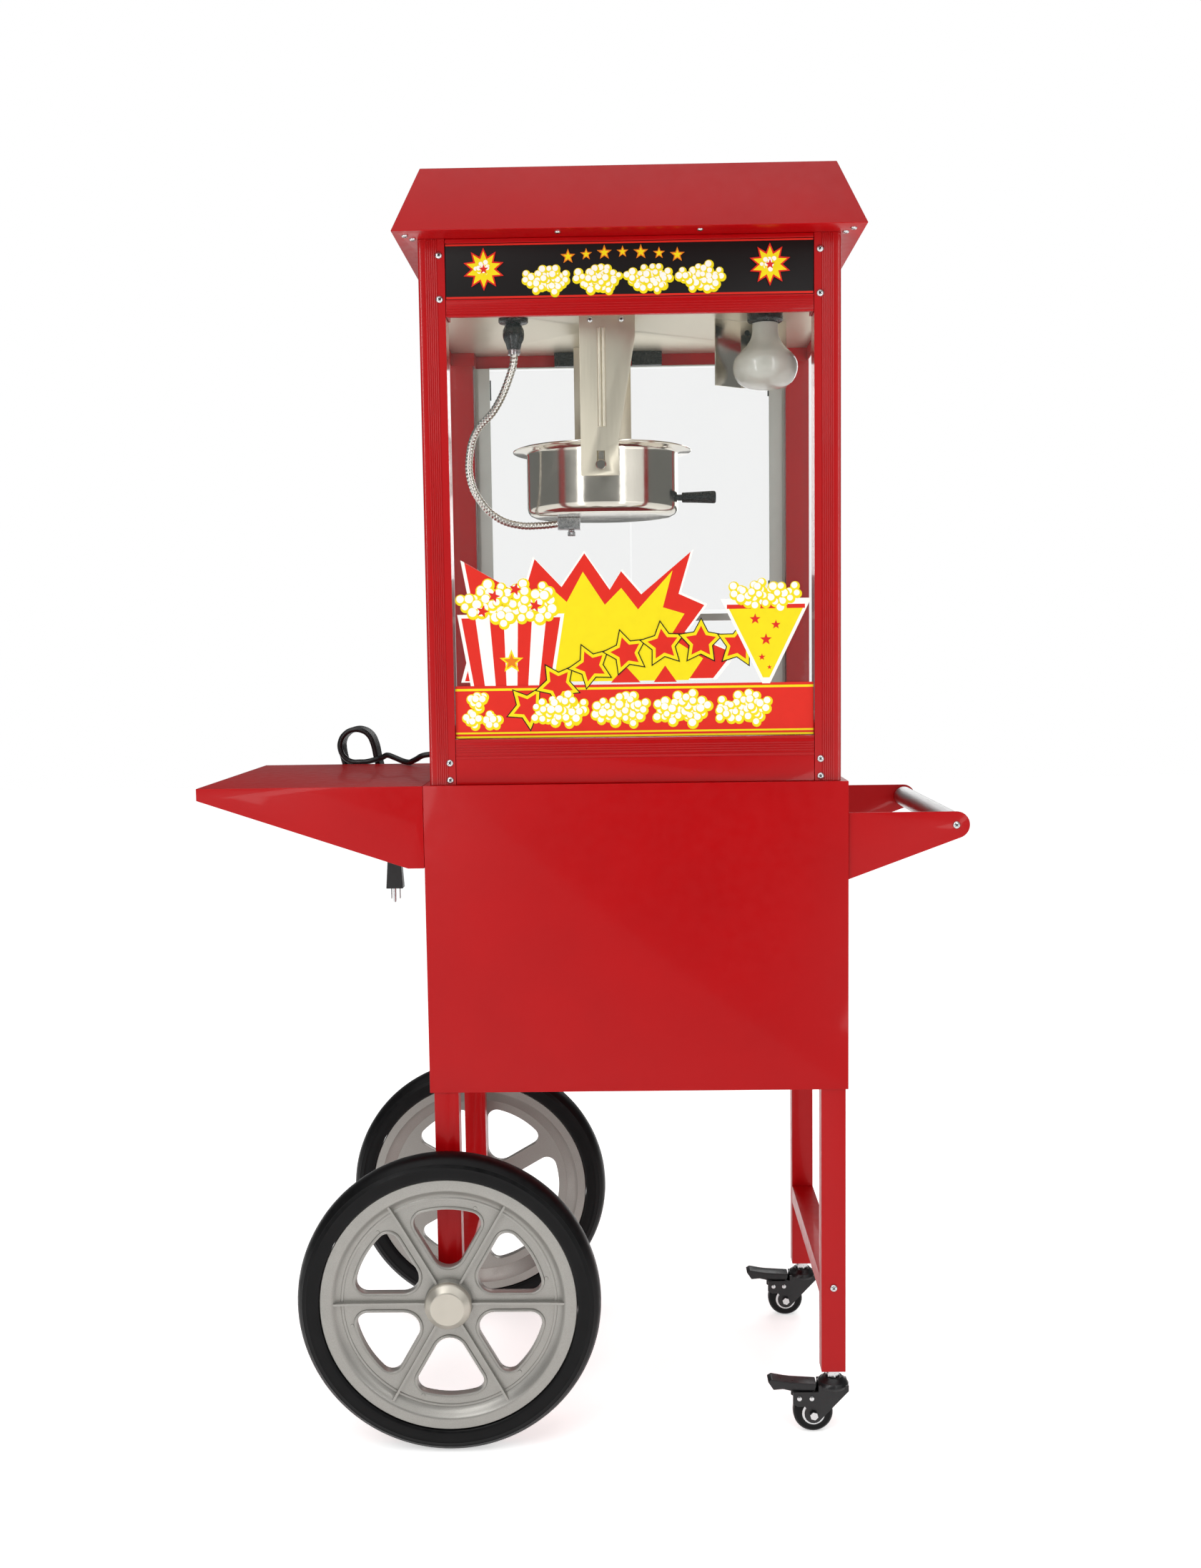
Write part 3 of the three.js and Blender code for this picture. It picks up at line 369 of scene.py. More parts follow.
# ------------------------------------------------------------------ finishes
class POPCORN_CART_OT_finishes(bpy.types.Operator):
    """Makes every paint, metal, rubber, glass and ink of the cart"""

    bl_idname = "popcorn_cart.finishes"
    bl_label = "Finishes"

    def execute(self, context):
        colours = context.scene.popcorn_cart_colours
        red = list(colours.enamel)
        # Gloss enamel sprayed on pressed steel: deep red, its reflection broken by faint orange peel.
        gloss = {"Specular IOR Level": 0.16, "Coat Weight": 0.16, "Coat Roughness": 0.06, "Coat IOR": 1.4}
        patterns = [{"size": 90, "tint": (0.95, 1.02)}, {"size": 14, "roughness": (0.32, 0.42)}]
        finish("red_enamel", red, gloss, [*patterns, {"size": 2.4, "detail": 1.0, "height": 0.01}])
        # The same enamel on extruded aluminium: smoother, so the ribs carry bright lines.
        gloss = {"Roughness": 0.24, "Specular IOR Level": 0.45, "Coat Weight": 0.4, "Coat Roughness": 0.06}
        finish("red_extrusion", red, gloss, [{"size": 60, "tint": (0.95, 1.02)}])
        # Spun and polished stainless steel: a near mirror with a few dull smears.
        finish(
            "mirror_steel", list(colours.pot_steel), {"Metallic": 1.0},
            [{"size": 35, "roughness": (0.1, 0.17)}]
        )
        # Rolled stainless sheet with a satin face: warm and soft, with faint streaks down its length.
        streaks = {"size": 1.6, "stretch": (1, 1, 0.02)}
        satin = [{**streaks, "tint": (0.97, 1.02), "roughness": (0.34, 0.42)}]
        finish("satin_steel", list(colours.sheet_steel), {"Metallic": 0.8}, satin)
        # Satin nickel on the pressed axle caps: warm silver, soft and even.
        finish(
            "satin_nickel", linear("#B9B4A9"), {"Metallic": 0.75},
            [{"size": 12, "roughness": (0.34, 0.42)}]
        )
        # Bright zinc on fasteners and shafts: pale, slightly blue metal with small dull patches.
        finish("zinc_plate", linear("#C9CACB"), {"Metallic": 1.0}, [{"size": 3, "roughness": (0.2, 0.36)}])
        # Mill-finish aluminium tube: bright drawn metal.
        finish("ribbed_alloy", linear("#C2C2C2"), {"Metallic": 1.0}, [{"size": 6, "roughness": (0.28, 0.38)}])
        # Lacquered aluminium stiles and motor case: flat, even, pale grey.
        finish(
            "pale_alloy", linear("#BDC2BC"), {"Metallic": 0.25, "Roughness": 0.4},
            [{"size": 25, "tint": (0.95, 1.02)}]
        )
        # Silver-filled ABS, injection moulded: soft metallic grey with a fleck and a fine pebbled skin.
        pebble = [{"size": 0.9, "detail": 4.0, "tint": (0.9, 1.08)}, {"size": 22, "roughness": (0.36, 0.46)}]
        body = {"Metallic": 0.65, "Specular IOR Level": 0.4}
        finish("silver_moulding", list(colours.moulding), body, [*pebble, {"size": 0.8, "height": 0.02}])
        # Moulded solid rubber: near black, a waxy shine on the shoulder, dust greying it in patches.
        dusty = [
            {"size": 18, "detail": 4.0, "tint": (0.8, 1.35)},
            {"size": 9, "detail": 4.0, "roughness": (0.3, 0.46)}
        ]
        finish(
            "tyre_rubber", list(colours.rubber), {"Specular IOR Level": 0.15},
            [*dusty, {"size": 0.7, "height": 0.015}]
        )
        # Electrocoated pressed steel: smooth black with a slight orange peel. The same black is also painted
        # shade in the screws' cross recesses and the lamp shield's holes.
        coated = [{"size": 5, "roughness": (0.26, 0.4)}, {"size": 1.2, "detail": 2.0, "height": 0.02}]
        finish("black_coating", linear("#0E0E10"), {"Specular IOR Level": 0.4}, coated)
        # Glossy phenolic plastic on grips, plugs and switches.
        finish(
            "black_plastic", linear("#0B0B0D"), {"Specular IOR Level": 0.45},
            [{"size": 4, "roughness": (0.2, 0.34)}]
        )
        # PVC flex: satin black with shallow drawing marks.
        flex = [{"size": 3, "roughness": (0.3, 0.44)}, {"size": 0.8, "detail": 2.0, "height": 0.02}]
        finish("cord_jacket", linear("#101012"), {"Specular IOR Level": 0.45}, flex)
        # Galvanised strip wound into a hose: bright metal, dull in patches.
        finish("wound_hose", linear("#D2D0C9"), {"Metallic": 1.0}, [{"size": 6, "roughness": (0.2, 0.34)}])
        # Clear float glass: almost invisible, with a sharp reflection.
        finish("pane", linear("#7E8A86"), {"Roughness": 0.03, "Alpha": 0.04, "Specular IOR Level": 0.6})
        # Reflector bulb, etched inside: milky grey with a soft sheen.
        milky = {"Roughness": 0.22, "Coat Weight": 0.4, "Coat Roughness": 0.12}
        finish("frosted_glass", linear("#B9B9AF"), milky, [{"size": 30, "tint": (0.94, 1.04)}])
        # Screen-printed vinyl film: flat ink with a satin skin and a little mottling.
        inks = {
            "ink_white": list(colours.print_white),
            "ink_yellow": list(colours.print_yellow),
            "ink_red": list(colours.print_red),
            "ink_black": list(colours.print_black),
            "ink_orange": linear("#DD7A1A"),
        }
        for name, colour in inks.items():
            finish(
                name, colour, {"Roughness": 0.45, "Specular IOR Level": 0.2},
                [{"size": 12, "tint": (0.96, 1.0)}]
            )
        return {"FINISHED"}


# ------------------------------------------------------------------ cart body
class POPCORN_CART_OT_cart_body(bpy.types.Operator):
    """Skins the folded sheets: shell, rear door, shelf, handle plates, legs and braces"""

    bl_idname = "popcorn_cart.cart_body"
    bl_label = "Cart Body"

    def execute(self, context):
        for node in ("cart_shell", "cart_door", "side_shelf"):
            dress(node, "red_enamel", bpy.context.scene.popcorn_cart_sizes.sheet_edge / MM)
        for node in ("handle_plate_front", "handle_plate_rear"):
            dress(node, "red_enamel", 0.8)
        for node in ("leg_front_left", "leg_rear_left", "leg_front_right", "leg_rear_right"):
            dress(node, "red_enamel", 0.7)
        for node in ("brace_left", "brace_right"):
            dress(node, "red_enamel", 0.6)
        return {"FINISHED"}


class POPCORN_CART_OT_cart_fittings(bpy.types.Operator):
    """Adds the screws and the door hinges that show on the cart's sheets"""

    bl_idname = "popcorn_cart.cart_fittings"
    bl_label = "Cart Fittings"

    def execute(self, context):
        bm = bmesh.new()
        tip = limits("push_bar")
        bar_x = (tip[0].x + tip[1].x) / 2
        bar_z = (tip[0].z + tip[1].z) / 2
        pan_screw(bm, at(bar_x, limits("handle_plate_front")[0].y, bar_z), -Y, 4.6)
        pan_screw(bm, at(bar_x, limits("handle_plate_rear")[1].y, bar_z), Y, 4.6)
        leg = limits("leg_front_right")
        leg_x = (leg[0].x + leg[1].x) / 2
        pan_screw(bm, at(leg_x, leg[0].y, 189), -Y, 4.6)
        pan_screw(bm, at(leg_x, limits("leg_rear_right")[1].y, 189), Y, 4.6)
        for x in (-246, 246):
            for z in (480, 790):
                pan_screw(bm, at(x, limits("cart_shell")[1].y, z), Y, 4.0)
        # The second finish here is painted shade in the screws' cross recesses.
        piece("cart_screws", bm, "root", ["zinc_plate", "black_coating"])
        plates = bmesh.new()
        knuckles = bmesh.new()
        for z in (500, 767):
            block(plates, -253, -244, 370.1, 371.4, z - 20, z + 20)
            lathe(knuckles, [(0, -22), (2.4, -22), (2.4, 22), (0, 22)], at(-238.5, 371.5, z), Z, 20)
        piece("cart_door_hinge_plates", plates, "root", "zinc_plate", bevel=0.2)
        piece("cart_door_knuckles", knuckles, "cart_door", "zinc_plate")
        return {"FINISHED"}


class POPCORN_CART_OT_push_bar(bpy.types.Operator):
    """Turns the ribbed alloy bar between the handle plates"""

    bl_idname = "popcorn_cart.push_bar"
    bl_label = "Push Bar"

    def execute(self, context):
        low, high = limits("push_bar")
        radius = (high.x - low.x) / 2
        centre = at((low.x + high.x) / 2, 0, (low.z + high.z) / 2)
        pitch = 4.5
        count = int((high.y - low.y - 6) // pitch)
        profile = [(0, low.y), (radius - 1.2, low.y), (radius - 0.6, low.y + 0.8)]
        for i in range(count):
            y = low.y + 3 + i * pitch
            profile += [
                (radius - 0.9, y), (radius - 0.15, y + 0.9), (radius - 0.15, y + 3.3),
                (radius - 0.9, y + 4.2)
            ]
        profile += [(radius - 0.6, high.y - 0.8), (radius - 1.2, high.y), (0, high.y)]
        bm = bmesh.new()
        lathe(bm, profile, centre, Y, 40)
        piece("push_bar_ribbed", bm, "root", "ribbed_alloy", ("push_bar",), smooth=50)
        return {"FINISHED"}


# ------------------------------------------------------------------ big wheels
SPOKES = 6
WINDOW_OUTER = 118
SPOKE_HALF = 12.5
WEB_INSIDE = 20
WINDOW_CORNER = 14


def window_outline(turn, grow=0.0):
    """One opening between two spokes, grown outwards by grow mm."""
    middle = math.pi / SPOKES
    inner_at = (SPOKE_HALF + WEB_INSIDE) / math.sin(middle)
    corner_turn = math.asin((SPOKE_HALF + WINDOW_CORNER) / (WINDOW_OUTER - WINDOW_CORNER))

    def place(radius, angle):
        return radius * math.cos(angle + turn), radius * math.sin(angle + turn)

    deg = math.degrees
    ix, iz = place(inner_at, middle)
    ax, az = place(WINDOW_OUTER - WINDOW_CORNER, corner_turn)
    bx, bz = place(WINDOW_OUTER - WINDOW_CORNER, 2 * middle - corner_turn)
    quarter = math.pi / 2
    inside, corner = WEB_INSIDE + grow, WINDOW_CORNER + grow
    points = arc(ix, iz, inside, deg(turn + 2 * middle + quarter), deg(turn + 3 * quarter), 10)
    points += arc(ax, az, corner, deg(turn - quarter), deg(turn + corner_turn), 8)
    outer_from, outer_to = deg(turn + corner_turn), deg(turn + 2 * middle - corner_turn)
    points += arc(0, 0, WINDOW_OUTER + grow, outer_from, outer_to, 8)
    points += arc(bx, bz, corner, outer_to, deg(turn + 2 * middle + quarter), 8)
    return points


def flat_curve(outlines, half_depth, round_by):
    """A filled plate whose later outlines are holes in its first, in the XY plane."""
    curve = bpy.data.curves.new("plate", "CURVE")
    curve.dimensions = "2D"
    curve.fill_mode = "BOTH"
    curve.extrude = (half_depth - round_by) * MM
    curve.bevel_depth = round_by * MM
    curve.bevel_resolution = 1
    curve.offset = -round_by * MM
    for outline in outlines:
        spline = curve.splines.new("POLY")
        spline.points.add(len(outline) - 1)
        for knot, (a, b) in zip(spline.points, outline):
            knot.co = (a * MM, b * MM, 0, 1)
        spline.use_cyclic_u = True
    return curve


def wheel_moulding(name, middle_y, side, turn):
    """side is -1 where the wheel's face looks to the front and 1 where it looks back."""
    outward = Y * side
    centre = at(WHEEL_X, middle_y, WHEEL_Z)
    turns = [turn + i * math.tau / SPOKES for i in range(SPOKES)]
    bm = bmesh.new()
    web = flat_curve([arc(0, 0, 134, 0, 355, 71)] + [window_outline(t) for t in turns], 5, 0.8)
    stand = Matrix.Translation(centre + outward * MM) @ Matrix.Rotation(math.pi / 2, 4, "X")
    take_curve(bm, web, stand)
    face = 6 * MM

    def on_face(points, lift):
        return [centre + X * (a * MM) + Z * (b * MM) + outward * (face + lift * MM) for a, b in points]

    for t in turns:
        outline = window_outline(t, 1.9)
        bead = [p for p, q in zip(outline, outline[-1:] + outline[:-1]) if math.dist(p, q) > 0.4]
        edge = bpy.data.curves.new("bead", "CURVE")
        edge.dimensions = "3D"
        edge.bevel_depth = 2.1 * MM
        edge.bevel_resolution = 2
        line = edge.splines.new("POLY")
        spots = on_face(bead, 0.1)
        line.points.add(len(spots) - 1)
        for knot, spot in zip(line.points, spots):
            knot.co = (*spot, 1)
        line.use_cyclic_u = True
        take_curve(bm, edge)
    ring = [
        (130, 4.5), (130.4, 7.0), (132, 7.6), (133.2, 7.4), (134, 6.8), (136, 7.6), (138.6, 9.4),
        (141.2, 12)
    ]
    ring += [(143.4, 14.6), (145, 15.7), (147, 16), (157.5, 16), (158.7, 14.5)]
    ring += [(158.7, -14.5), (157.5, -16), (146.5, -16), (141, -10), (131, -5), (130, -4)]
    lathe(bm, ring, centre, outward, 128, closed=True)
    hub = [
        (AXLE_HOLE, -20), (26, -20), (28, -18), (29, -6), (32, 1), (29, 8), (28.6, 12), (27.5, 13),
        (AXLE_HOLE, 13)
    ]
    lathe(bm, hub, centre, outward, 64, closed=True)
    for t in turns:
        along = X * math.cos(t) + Z * math.sin(t)
        across = along.cross(outward)
        outline = [(27, 4), (143.5, 4), (143.5, 13.2), (141, 13.8), (120, 12.2), (40, 11), (27, 12.2)]
        start = centre - across * (1.4 * MM)
        extruded(bm, outline, lambda a, b: start + along * (a * MM) + outward * (b * MM), across * (2.8 * MM))
    for t in turns:
        spot = centre + (X * math.cos(t + 0.24) + Z * math.sin(t + 0.24)) * (124 * MM) + outward * (5.6 * MM)
        lathe(bm, [(0, 0), (2.6, 0), (2.2, 1.2), (0, 1.3)], spot, outward, 12)
    rim = f"wheel_{name}_rim"
    obj = piece(f"{rim}_moulding", bm, BODY_OF[rim], "silver_moulding", (rim,), smooth=38)
    return obj



def tyre(name, middle_y, side):
    """Makes one solid rubber tyre round its rim."""
    outward = Y * side
    centre = at(WHEEL_X, middle_y, WHEEL_Z)
    wall = [(159.2, 17.6), (160.5, 18.6), (163, 19.2), (170, 19.6), (173.5, 19.6), (174.2, 19.9), (175, 19.5)]
    wall += [
        (178.5, 18.2), (179.2, 18.4), (179.9, 17.6), (182.8, 15.2), (185.2, 12), (186.7, 8), (187.4, 4),
        (187.5, 0)
    ]
    profile = wall + [(r, -h) for r, h in reversed(wall[:-1])]
    bm = bmesh.new()
    lathe(bm, profile, centre, outward, 144, closed=True)
    node = f"wheel_{name}_tyre"
    piece(f"{node}_rubber", bm, BODY_OF[node], "tyre_rubber", (node,), smooth=32)


def axle_and_caps():
    """Makes the steel axle with a domed cap pressed on each end."""
    low, high = limits("axle")
    bm = bmesh.new()
    centre = at(WHEEL_X, 0, WHEEL_Z)
    for end, way in ((low.y, 1), (high.y, -1)):
        cap = [
            (0, 0), (19.5, 0), (20.8, 0.4), (22, 1.4), (27.4, 6.4), (28.6, 8.2), (29, 10), (29, 14),
            (26, 14)
        ]
        cap += [(26, 12), (0, 12)]
        lathe(bm, cap, at(WHEEL_X, end, WHEEL_Z), Y * way, 64)
    lathe(bm, [(0, low.y + 12.5), (6, low.y + 12.5), (6, high.y - 12.5), (0, high.y - 12.5)], centre, Y, 32)
    for leg in ("leg_front_left", "leg_rear_left"):
        leg_low, leg_high = limits(leg)
        outer = leg_low.y - 2.2 if leg == "leg_front_left" else leg_high.y + 2.2
        way = -1 if leg == "leg_front_left" else 1
        lathe(
            bm, [(6, 0), (11, 0), (11, 1.6), (6, 1.6)], at(WHEEL_X, outer - way, WHEEL_Z), Y * way, 24,
            True
        )
    piece("axle_bar_and_caps", bm, "root", "satin_nickel", ("axle",), smooth=12)


class POPCORN_CART_OT_wheels(bpy.types.Operator):
    """Moulds both spoked wheels and their tyres, and turns the axle with its caps"""

    bl_idname = "popcorn_cart.wheels"
    bl_label = "Wheels"

    def execute(self, context):
        near, far = limits("wheel_front_tyre"), limits("wheel_rear_tyre")
        near_y = (near[0].y + near[1].y) / 2
        far_y = (far[0].y + far[1].y) / 2
        wheel_moulding("front", near_y, -1, 0)
        wheel_moulding("rear", far_y, 1, math.pi / SPOKES)
        tyre("front", near_y, -1)
        tyre("rear", far_y, 1)
        axle_and_caps()
        return {"FINISHED"}


# ------------------------------------------------------------------ casters
CASTER_X = 240
CASTER_AXLE_X = 215
CASTER_RADIUS = 25


def caster(name):
    """Makes one caster: its stem, fork, wheel and brake pedal."""
    y = (limits(f"caster_{name}_wheel")[0].y + limits(f"caster_{name}_wheel")[1].y) / 2
    fork = f"caster_{name}_fork"
    dress(fork, "black_coating", 0.5)
    dress(f"caster_{name}_pedal", "black_coating", 0.8)
    stem = f"caster_{name}_stem"
    dress(stem, "zinc_plate", 0.3)
    bm = bmesh.new()
    axle = at(CASTER_AXLE_X, y, CASTER_RADIUS)
    tread = [(3.8, 9.6), (14.2, 10.2), (15.6, 9.2), (17, 8.6), (21.5, 8.8), (23.6, 7.4), (24.8, 5), (25, 0)]
    lathe(bm, tread + [(r, -h) for r, h in reversed(tread[:-1])], axle, Y, 48, closed=True)
    for side in (-1, 1):
        disc = [(3.8, 0), (14.2, 0), (14.2, 0.5), (12.5, 0.9), (3.8, 0.9)]
        lathe(bm, disc, axle + Y * (side * 9.9 * MM), Y * side, 40, closed=True, ink=1)
    wheel = f"caster_{name}_wheel"
    piece(
        f"{wheel}_tread", bm, BODY_OF[wheel], ["tyre_rubber", "zinc_plate"], (wheel,),
        smooth=32
    )
    trim = bmesh.new()
    for side in (-1, 1):
        face = at(CASTER_AXLE_X, y, CASTER_RADIUS) + Y * (side * 15.8 * MM)
        hex_bolt(trim, face, Y * side, 5.2, 2.6)
        for dx, dz in ((-18, 21), (-2.5, 21)):
            spot = at(CASTER_AXLE_X + dx, y + side * 13.3, CASTER_RADIUS + dz)
            lathe(trim, [(0, 0), (3.2, 0), (2.9, 1.1), (1.6, 1.7), (0, 1.8)], spot, Y * side, 20)
    piece(f"{fork}_rivets", trim, BODY_OF[fork], "zinc_plate", smooth=35)
    nut = bmesh.new()
    hex_bolt(nut, at(CASTER_X, y, 70.4), Z, 9, 5.5)
    piece(f"{stem}_nut", nut, "root", "zinc_plate", bevel=0.4)


class POPCORN_CART_OT_casters(bpy.types.Operator):
    """Builds the two braked swivel casters"""

    bl_idname = "popcorn_cart.casters"
    bl_label = "Casters"

    def execute(self, context):
        for name in ("front", "rear"):
            caster(name)
        return {"FINISHED"}


# ------------------------------------------------------------------ cabinet
def post_section():
    """A corner post's outline: a flat by the glass, fine ribs, a flat, a round corner and a ribbed side."""
    section = [(0, 0), (0.5, 0), (8.4, 0)]
    rib_from, rib_count = 8.8, 6
    rib_pitch = bpy.context.scene.popcorn_cart_sizes.rib_pitch / MM
    for i in range(rib_count):
        a = rib_from + i * rib_pitch
        section += [(a, 0.7), (a + 0.5, 0.7), (a + 0.9, 0.1), (a + 1.45, -0.1), (a + 2.0, 0.1)]
    section += [(23.5, 0.0), (28.3, 0.0)]
    section += arc(POST_WIDTH - 3.5, 3.5, 3.5, 280, 360, 5)
    side_from, side_pitch, side_count = 9.5, 1.81, 5
    for i in range(side_count):
        b = side_from + i * side_pitch
        section += [(32, b), (31.4, b + 0.2), (31.4, b + 0.5), (32, b + 0.8)]
    return section + [(32, 30), (0, 30)]


class POPCORN_CART_OT_posts(bpy.types.Operator):
    """Extrudes the four ribbed corner posts"""

    bl_idname = "popcorn_cart.posts"
    bl_label = "Corner Posts"

    def execute(self, context):
        low, high = limits("post_front_right")
        for side_x, x_name in ((-1, "left"), (1, "right")):
            for side_y, y_name in ((-1, "front"), (1, "rear")):
                bm = bmesh.new()
                inner = POST_HALF - POST_WIDTH
                edge = POST_FRONT if side_y < 0 else POST_BACK

                def place(a, b, sx=side_x, sy=side_y, y=edge):
                    return at(sx * (inner + a), y - sy * b, low.z)

                extruded(bm, post_section(), place, Z * ((high.z - low.z) * MM))
                node = f"post_{y_name}_{x_name}"
                piece(f"{node}_extrusion", bm, "root", "red_extrusion", (node,), smooth=28)
        return {"FINISHED"}


class POPCORN_CART_OT_cabinet_frame(bpy.types.Operator):
    """Skins the base, header, roof, ceiling, drawer and motor case"""

    bl_idname = "popcorn_cart.cabinet_frame"
    bl_label = "Cabinet Frame"

    def execute(self, context):
        dress("base_frame", "red_enamel", 0.5)
        dress("header_frame", "red_enamel", 0.5)
        dress("roof", "red_enamel", 1.6)
        dress("ceiling_plate", "satin_steel", 0.3)
        dress("crumb_drawer", "satin_steel", 0.4)
        dress("drive_motor", "pale_alloy", 1.0)
        return {"FINISHED"}


class POPCORN_CART_OT_cabinet_trim(bpy.types.Operator):
    """Adds the grooved rails round the panes and the cabinet's screws"""

    bl_idname = "popcorn_cart.cabinet_trim"
    bl_label = "Cabinet Trim"

    def execute(self, context):
        rails = bmesh.new()
        reach = POST_HALF - POST_WIDTH - 0.5
        front, deck = CABINET_LOW.y, 857
        for z in (861.5, 864.5, 867.5, 870.5):
            block(rails, -reach, reach, front - 0.55, front + 0.2, z, z + 1.4)
        block(rails, -reach, reach, front - 0.8, front + 0.2, 876.6, 879.4)
        block(rails, -reach, reach, front - 0.8, front + 0.2, deck - 1, deck + 1.6)
        head = limits("header_frame")
        for z in (1385.5, 1388.5, 1391.5, 1394.5):
            block(rails, -reach, reach, head[0].y - 0.55, head[0].y + 0.2, z, z + 1.4)
        block(rails, -reach, reach, head[0].y - 0.8, head[0].y + 0.2, 1381.6, 1383.6)
        block(rails, -reach, reach, head[0].y - 0.8, head[0].y + 0.2, 1399.4, 1401.4)
        piece("front_rail_ribs", rails, "root", "red_extrusion", bevel=0.2)
        screws = bmesh.new()
        radius = bpy.context.scene.popcorn_cart_sizes.screw_radius / MM
        for side in (-1, 1):
            for z in (830, 851, 1402, 1453):
                pan_screw(screws, at(side * 225, POST_FRONT, z), -Y, radius)
                pan_screw(screws, at(side * 225, POST_BACK, z), Y, radius)
        eave = limits("roof")[0].z
        for side in (-1, 1):
            for x, y in ((262, -10), (255, 6), (262, 380), (255, 364)):
                pan_screw(screws, at(side * x, y, eave), -Z, 4.0)
            pan_screw(screws, at(side * 83, -15, eave), -Z, 3.6)
        # The second finish here is painted shade in the screws' cross recesses.
        piece("cabinet_screws", screws, "root", ["zinc_plate", "black_coating"])
        return {"FINISHED"}


class POPCORN_CART_OT_roof_seams(bpy.types.Operator):
    """Runs one weld bead in from each corner of the roof"""

    bl_idname = "popcorn_cart.roof_seams"
    bl_label = "Roof Seams"

    def execute(self, context):
        low, high = limits("roof")
        ridge_half, ridge_in = 248, 31
        eave_half = high.x
        bm = bmesh.new()
        for side_x in (-1, 1):
            for y_eave, y_ridge in ((low.y, ridge_in), (high.y, high.y - 31 - ridge_in)):
                inward = 1 if y_eave < 0 else -1
                foot = at(side_x * (eave_half + 0.1), y_eave + inward * 12, low.z + 2)
                head = at(side_x * (ridge_half + 0.1), y_ridge + inward * 11, high.z - 2)
                bar(bm, [foot, (foot + head) / 2, head], 0.7, sides=2)
        piece("roof_seams", bm, "root", "red_enamel")
        return {"FINISHED"}


class POPCORN_CART_OT_panes(bpy.types.Operator):
    """Glazes the cabinet and hangs the two rear glass doors with their stiles, knobs and catches"""

    bl_idname = "popcorn_cart.panes"
    bl_label = "Panes"

    def execute(self, context):
        for node in ("front_glass", "left_glass", "right_glass", "rear_glass"):
            dress(node, "pane", 0.2)
        stiles = bmesh.new()
        low_z, high_z = PANE_LOW.z, PANE_HIGH.z
        for x0, x1 in ((-217.6, -214.6), (215.4, 217.6)):
            block(stiles, x0, x1, 344, 352.6, low_z + 1, high_z - 1)
        for x0, x1 in ((-217.4, -196), (196, 217.4)):
            block(stiles, x0, x1, 347, 351.5, low_z + 1, high_z - 1)
        block(stiles, -196, 196, 347, 351.5, 1024, 1034)
        block(stiles, -196, 196, 347, 351.5, low_z + 0.6, low_z + 14)
        block(stiles, -196, 196, 346.4, 352.2, 1379.5, 1381)
        piece("rear_stiles", stiles, "root", "pale_alloy", bevel=0.6)
        for side, node in ((-1, "door_left"), (1, "door_right")):
            low, high = limits(node)
            bm = bmesh.new()
            pane_back = 359
            block(bm, low.x, high.x, 356, pane_back, low.z, high.z)
            piece(f"{node}_glass", bm, BODY_OF[node], "pane", (node,), bevel=0.3)
            fittings = bmesh.new()
            knob_x = side * 23.2
            knob = [(0, 0), (5, 0), (4.5, 3), (5, 7), (8, 10), (8.2, 13), (6.5, 14.6), (0, 15)]
            lathe(fittings, knob, at(knob_x, pane_back, 1190), Y, 32)
            lathe(fittings, [(0, 0), (6.5, 0), (6.5, 1), (4, 1.8), (0, 1.8)], at(knob_x, 356, 1190), -Y, 24)
            edge = high.x if side > 0 else low.x
            for z in (1066, 1352):
                x0, x1 = sorted((edge, edge - side * 20))
                block(fittings, x0, x1, pane_back, pane_back + 1.4, z - 14, z + 14)
                lathe(fittings, [(0, -14), (2.4, -14), (2.4, 14), (0, 14)], at(side * 214, 361.5, z), Z, 16)
            piece(
                f"{node}_knob_and_hinges", fittings, BODY_OF[node], "black_plastic",
                smooth=35
            )
        catches = bmesh.new()
        for x0, x1 in ((-104, -64), (4, 46)):
            block(catches, x0, x1, 336, 350, CEILING_Z - 19, CEILING_Z - 0.4)
            block(catches, x0 + 6, x1 - 6, 350, 352.5, CEILING_Z - 17, CEILING_Z - 10)
        piece("door_catches", catches, "root", "black_plastic", bevel=0.7)
        return {"FINISHED"}


class POPCORN_CART_OT_switches(bpy.types.Operator):
    """Fits the three rear rocker switches and their bezels"""

    bl_idname = "popcorn_cart.switches"
    bl_label = "Switches"

    def execute(self, context):
        for node in ("switch_motor", "switch_heat", "switch_light"):
            dress(node, "black_plastic", 0.5)
        back = limits("header_frame")[1].y
        bezels = bmesh.new()
        for x in (-60, 0, 60):
            sides = ((-10, -7.8, -13.5, 13.5), (7.8, 10, -13.5, 13.5))
            ends = ((-7.8, 7.8, 11.4, 13.5), (-7.8, 7.8, -13.5, -11.4))
            for x0, x1, z0, z1 in (*sides, *ends):
                block(bezels, x + x0, x + x1, back + 0.1, back + 1.6, 1437 + z0, 1437 + z1)
        piece("switch_bezels", bezels, "root", "black_plastic", bevel=0.3)
        return {"FINISHED"}


